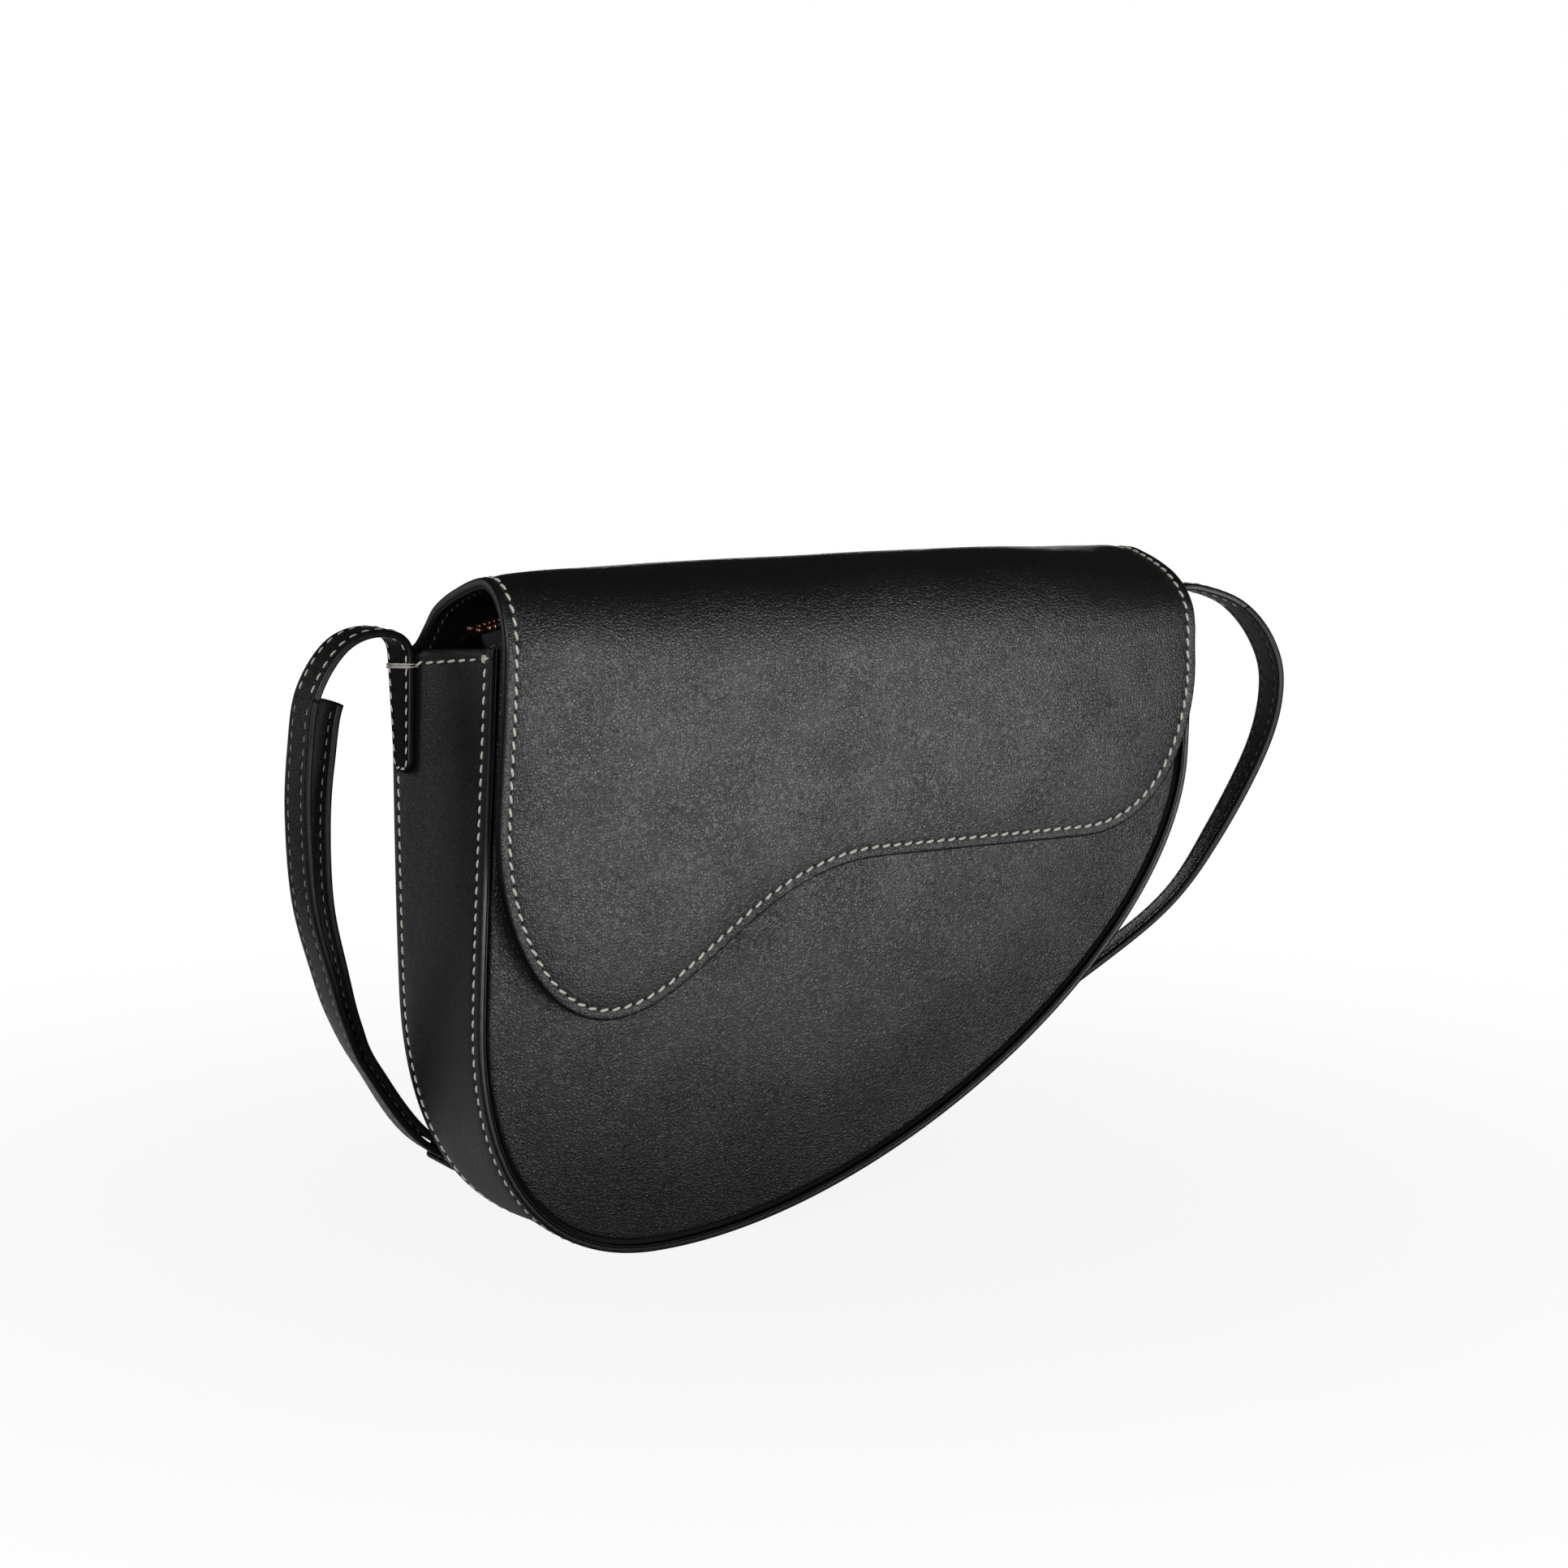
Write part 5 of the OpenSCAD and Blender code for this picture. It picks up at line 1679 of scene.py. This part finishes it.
    def buckle(self) -> Object:
        """The frame: a round-cornered rectangle path that carries an oval section.

        Returns:
            The object.
        """
        p, t, v, n = self.place(self.buckle_row)
        length, width, behind, lift, corner = 23.9, self.width + 4.0, 2.7, 0.6, 3.6
        loop = round_box(length, width, corner, 6) + [length / 2 - behind, 0]
        path = p + n * lift + loop[:, :1] * t + loop[:, 1:] * v
        step = unit(np.roll(loop, -1, 0) - np.roll(loop, 1, 0))
        outward = step[:, 1:] * t - step[:, :1] * v
        x, y = cos_sin(circle(14)).T
        oval = np.stack([1.55 * x, 1.5 * np.sign(y) * np.abs(y) ** 0.8], axis=-1)
        shell = Shell("buckle_frame_metal")
        shell.tube(sweep(path, outward, np.broadcast_to(n, path.shape), oval), close_u=True)
        return self.finish(shell, "brass", "buckle_frame")

    def keeper(self, node: str, i: float, room: float) -> Object:
        """A leather band round strap and tail: a rounded loop with its own thickness.

        Args:
            node: The CAD node it stands for.
            i: Row of the loop.
            room: Clearance round the strap.

        Returns:
            The object.
        """
        p, t, v, n = self.place(i)
        low, high = -self.thick / 2 - room, self.tail_lift * self.tail_room + self.thick / 2 + room
        wide, wall = self.width + 2 * room, 1.2
        inner = round_box(wide, high - low, 0.7)
        outer = round_box(wide + 2 * wall, high - low + 2 * wall, 1.6)
        along = np.array([-3.5, -3.4, -2.9, -1.5, 0.0, 1.5, 2.9, 3.4, 3.5, 3.4, -3.4])[:, None]
        grow = np.array([0.45, 0.8, 1.0, 1.04, 1.06, 1.04, 1.0, 0.8, 0.45, 0.0, 0.0])[:, None, None]
        path = p + t * along
        rings = inner + (outer - inner) * grow + [0, (low + high) / 2]
        grid = sweep(path, np.broadcast_to(v, path.shape), np.broadcast_to(n, path.shape), rings)
        shell = Shell(f"{node}_leather")
        shell.grid(grid, grid - grid.mean(0, keepdims=True), close_u=True, close_v=True)
        return self.finish(shell, "strap", node)

    def build(self) -> list[Object]:
        """All pieces of the strap: the strap's pieces and the sliding keeper ride on their bodies, the two
        tabs on none.
        """
        riding = [*self.branches(), self.buckle(), self.keeper("fixed_keeper", self.fixed_row, 0.2)]
        for obj in riding:
            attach(obj, "strap")
        slider = self.keeper("sliding_keeper", self.sliding_row, 0.8)
        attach(slider, "keeper")
        tabs = []
        for side, near, far in ((Hand.LEFT, 132.0, 160.0), (Hand.RIGHT, 137.0, 184.0)):
            tabs.append(self.tab(side))
            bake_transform(tabs[-1])
        return [*riding, slider, *tabs]


# ---------------------------------------------------------------- studio


@dataclass
class Studio:
    """Camera at the photograph's place, a white floor, a white world and four soft lamps."""

    eye: Colour = (-0.58376, -0.99125, 0.11054)
    turn: Colour = (81.707, 0.0, -30.80)
    lens: float = 81.99
    floor_z: float = -0.1932
    world_light: float = 0.035

    @staticmethod
    def stand(name: str, data: bpy.types.ID, place: Colour, turn: Sequence[float]) -> Object:
        """Links a camera or lamp at a place, turned."""
        obj = bpy.data.objects.new(name, data)
        obj.location, obj.rotation_euler = place, turn
        bpy.context.scene.collection.objects.link(obj)
        return obj

    def camera(self) -> None:
        """The camera, on a 36 mm sensor."""
        data = bpy.data.cameras.new("camera")
        data.lens, data.sensor_width = self.lens, 36.0
        data.clip_start, data.clip_end = 0.01, 50.0
        bpy.context.scene.camera = self.stand("camera", data, self.eye, np.radians(self.turn))

    def lamp(self, name: str, place: Colour, aim: Colour, size: Colour, power: float) -> None:
        """One rectangular area lamp.

        Args:
            name: Lamp name.
            place: Position in metres.
            aim: Point it looks at.
            size: Width and height in metres.
            power: Watts.
        """
        data = bpy.data.lights.new(name, "AREA")
        data.shape, data.size, data.size_y, data.energy = "RECTANGLE", *size, power
        back = Vector(place) - Vector(aim)
        self.stand(name, data, place, back.to_track_quat("Z", "Y").to_euler())

    def world(self) -> None:
        """White to the camera, dim grey as light and in reflections."""
        world = bpy.data.worlds.new("world")
        g = Nodes(world)
        seen = g.add("ShaderNodeLightPath", outlet="Is Camera Ray")
        strengths = (self.world_light, 1.0)
        dim, pale = (g.add("ShaderNodeBackground", None, {"Color": WHITE, "Strength": k}) for k in strengths)
        mixed = g.add("ShaderNodeMixShader", None, {0: seen, 1: dim, 2: pale})
        g.add("ShaderNodeOutputWorld", None, {"Surface": mixed})
        bpy.context.scene.world = world

    def floor(self) -> None:
        """A wide white floor under the lowest point, nearly white to the camera but with shadow.

        Three pools of glow on it are seen by reflections alone, where the photograph's cards stood.
        """
        shell = Shell("floor")
        u = np.linspace(-3000.0, 3000.0, 9)
        shell.grid(xyz(u[:, None], u, self.floor_z * MM + HANG_POINT[2]), [0, 0, 1.0])
        g = Nodes.material("floor_paper")
        diffuse = g.add("ShaderNodeBsdfDiffuse", None, {"Color": (0.8, 0.8, 0.8, 1.0)})
        seen = g.add("ShaderNodeLightPath", outlet="Is Camera Ray")
        shiny = g.add("ShaderNodeLightPath", outlet="Is Glossy Ray")
        here = g.add("ShaderNodeTexCoord", outlet="Object")
        x, y, _ = g.split(here)

        def pool(place: Colour, near: float, far: float, strength: float) -> Sock:
            """Glow that falls from its strength to nothing between two distances from a place."""
            away = g.vector("DISTANCE", {0: here, 1: (*place, self.floor_z)}, "Value")
            return (1 - away.between(near, far)) * strength

        ahead = y * -1.0 - x * 0.55
        shine = pool((0.29, -0.5), 0.2, 0.5, 10.2) * ahead.between(0.15, 0.27)
        shine = shine + pool((-0.08, 0.2), 0.05, 0.3, 0.6) + pool((0.25, 0.62), 0.15, 0.6, 1.5)
        glow = g.add("ShaderNodeEmission", None, {"Color": WHITE, "Strength": seen + shiny * shine})
        far = g.vector("LENGTH", {0: here}, "Value").between(0.12, 0.55)
        share = seen * (0.88 + far * 0.12) + shiny
        mixed = g.add("ShaderNodeMixShader", None, {0: share, 1: diffuse, 2: glow})
        g.add("ShaderNodeOutputMaterial", None, {"Surface": mixed})
        shell.make([g.owner])

    def build(self) -> None:
        """Camera, floor, world and lamps."""
        self.camera()
        self.floor()
        self.world()
        self.lamp("key_box", (0.62, -1.05, -0.02), (0.0, 0.0, -0.09), (0.75, 0.32), 3.6)
        self.lamp("left_box", (-0.95, 1.15, 0.1), (-0.1, 0.0, -0.08), (0.5, 0.5), 1.4)
        self.lamp("back_box", (0.85, 1.2, -0.05), (0.0, 0.0, -0.1), (0.6, 0.4), 8.0)
        self.lamp("front_left", (-0.95, -1.05, 0.25), (0.0, 0.0, -0.08), (0.5, 0.5), 9.5)


# ---------------------------------------------------------------- whole bag


NODE_FINISHES = {
    "board": ("front_board", "back_board"),
    "steel": ("body_magnet", "flap_magnet"),
    "copper": ("zip_slider", "zip_pull"),
    "brass": ("buckle_bar", "buckle_prong"),
}


def dress_nodes(looks: dict[str, Material]) -> None:
    """Gives the CAD nodes that stay their finish.

    Args:
        looks: The bag's materials by name.
    """
    for finish, names in NODE_FINISHES.items():
        for name in names:
            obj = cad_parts[name]
            if not obj.material_slots:
                obj.data.materials.append(looks[finish])
            for slot in obj.material_slots:
                slot.material = looks[finish]
            LOG.info("node %s keeps its shape", name)


def main() -> None:
    logging.basicConfig(level=logging.INFO, format="%(name)s: %(message)s")
    bpy.context.scene.view_settings.view_transform = "Standard"
    Studio().build()
    looks = {name: finish.material() for name, finish in FINISHES.items()}
    outline = Outline()
    dress_nodes(looks)
    for part in (Body(outline, looks), Flap(outline, looks), Zip(outline, looks), Strap(outline, looks)):
        for obj in part.build():
            LOG.info("%s: %s, %d faces", type(part).__name__, obj.name, len(obj.data.polygons))


if __name__ == "__main__":
    main()
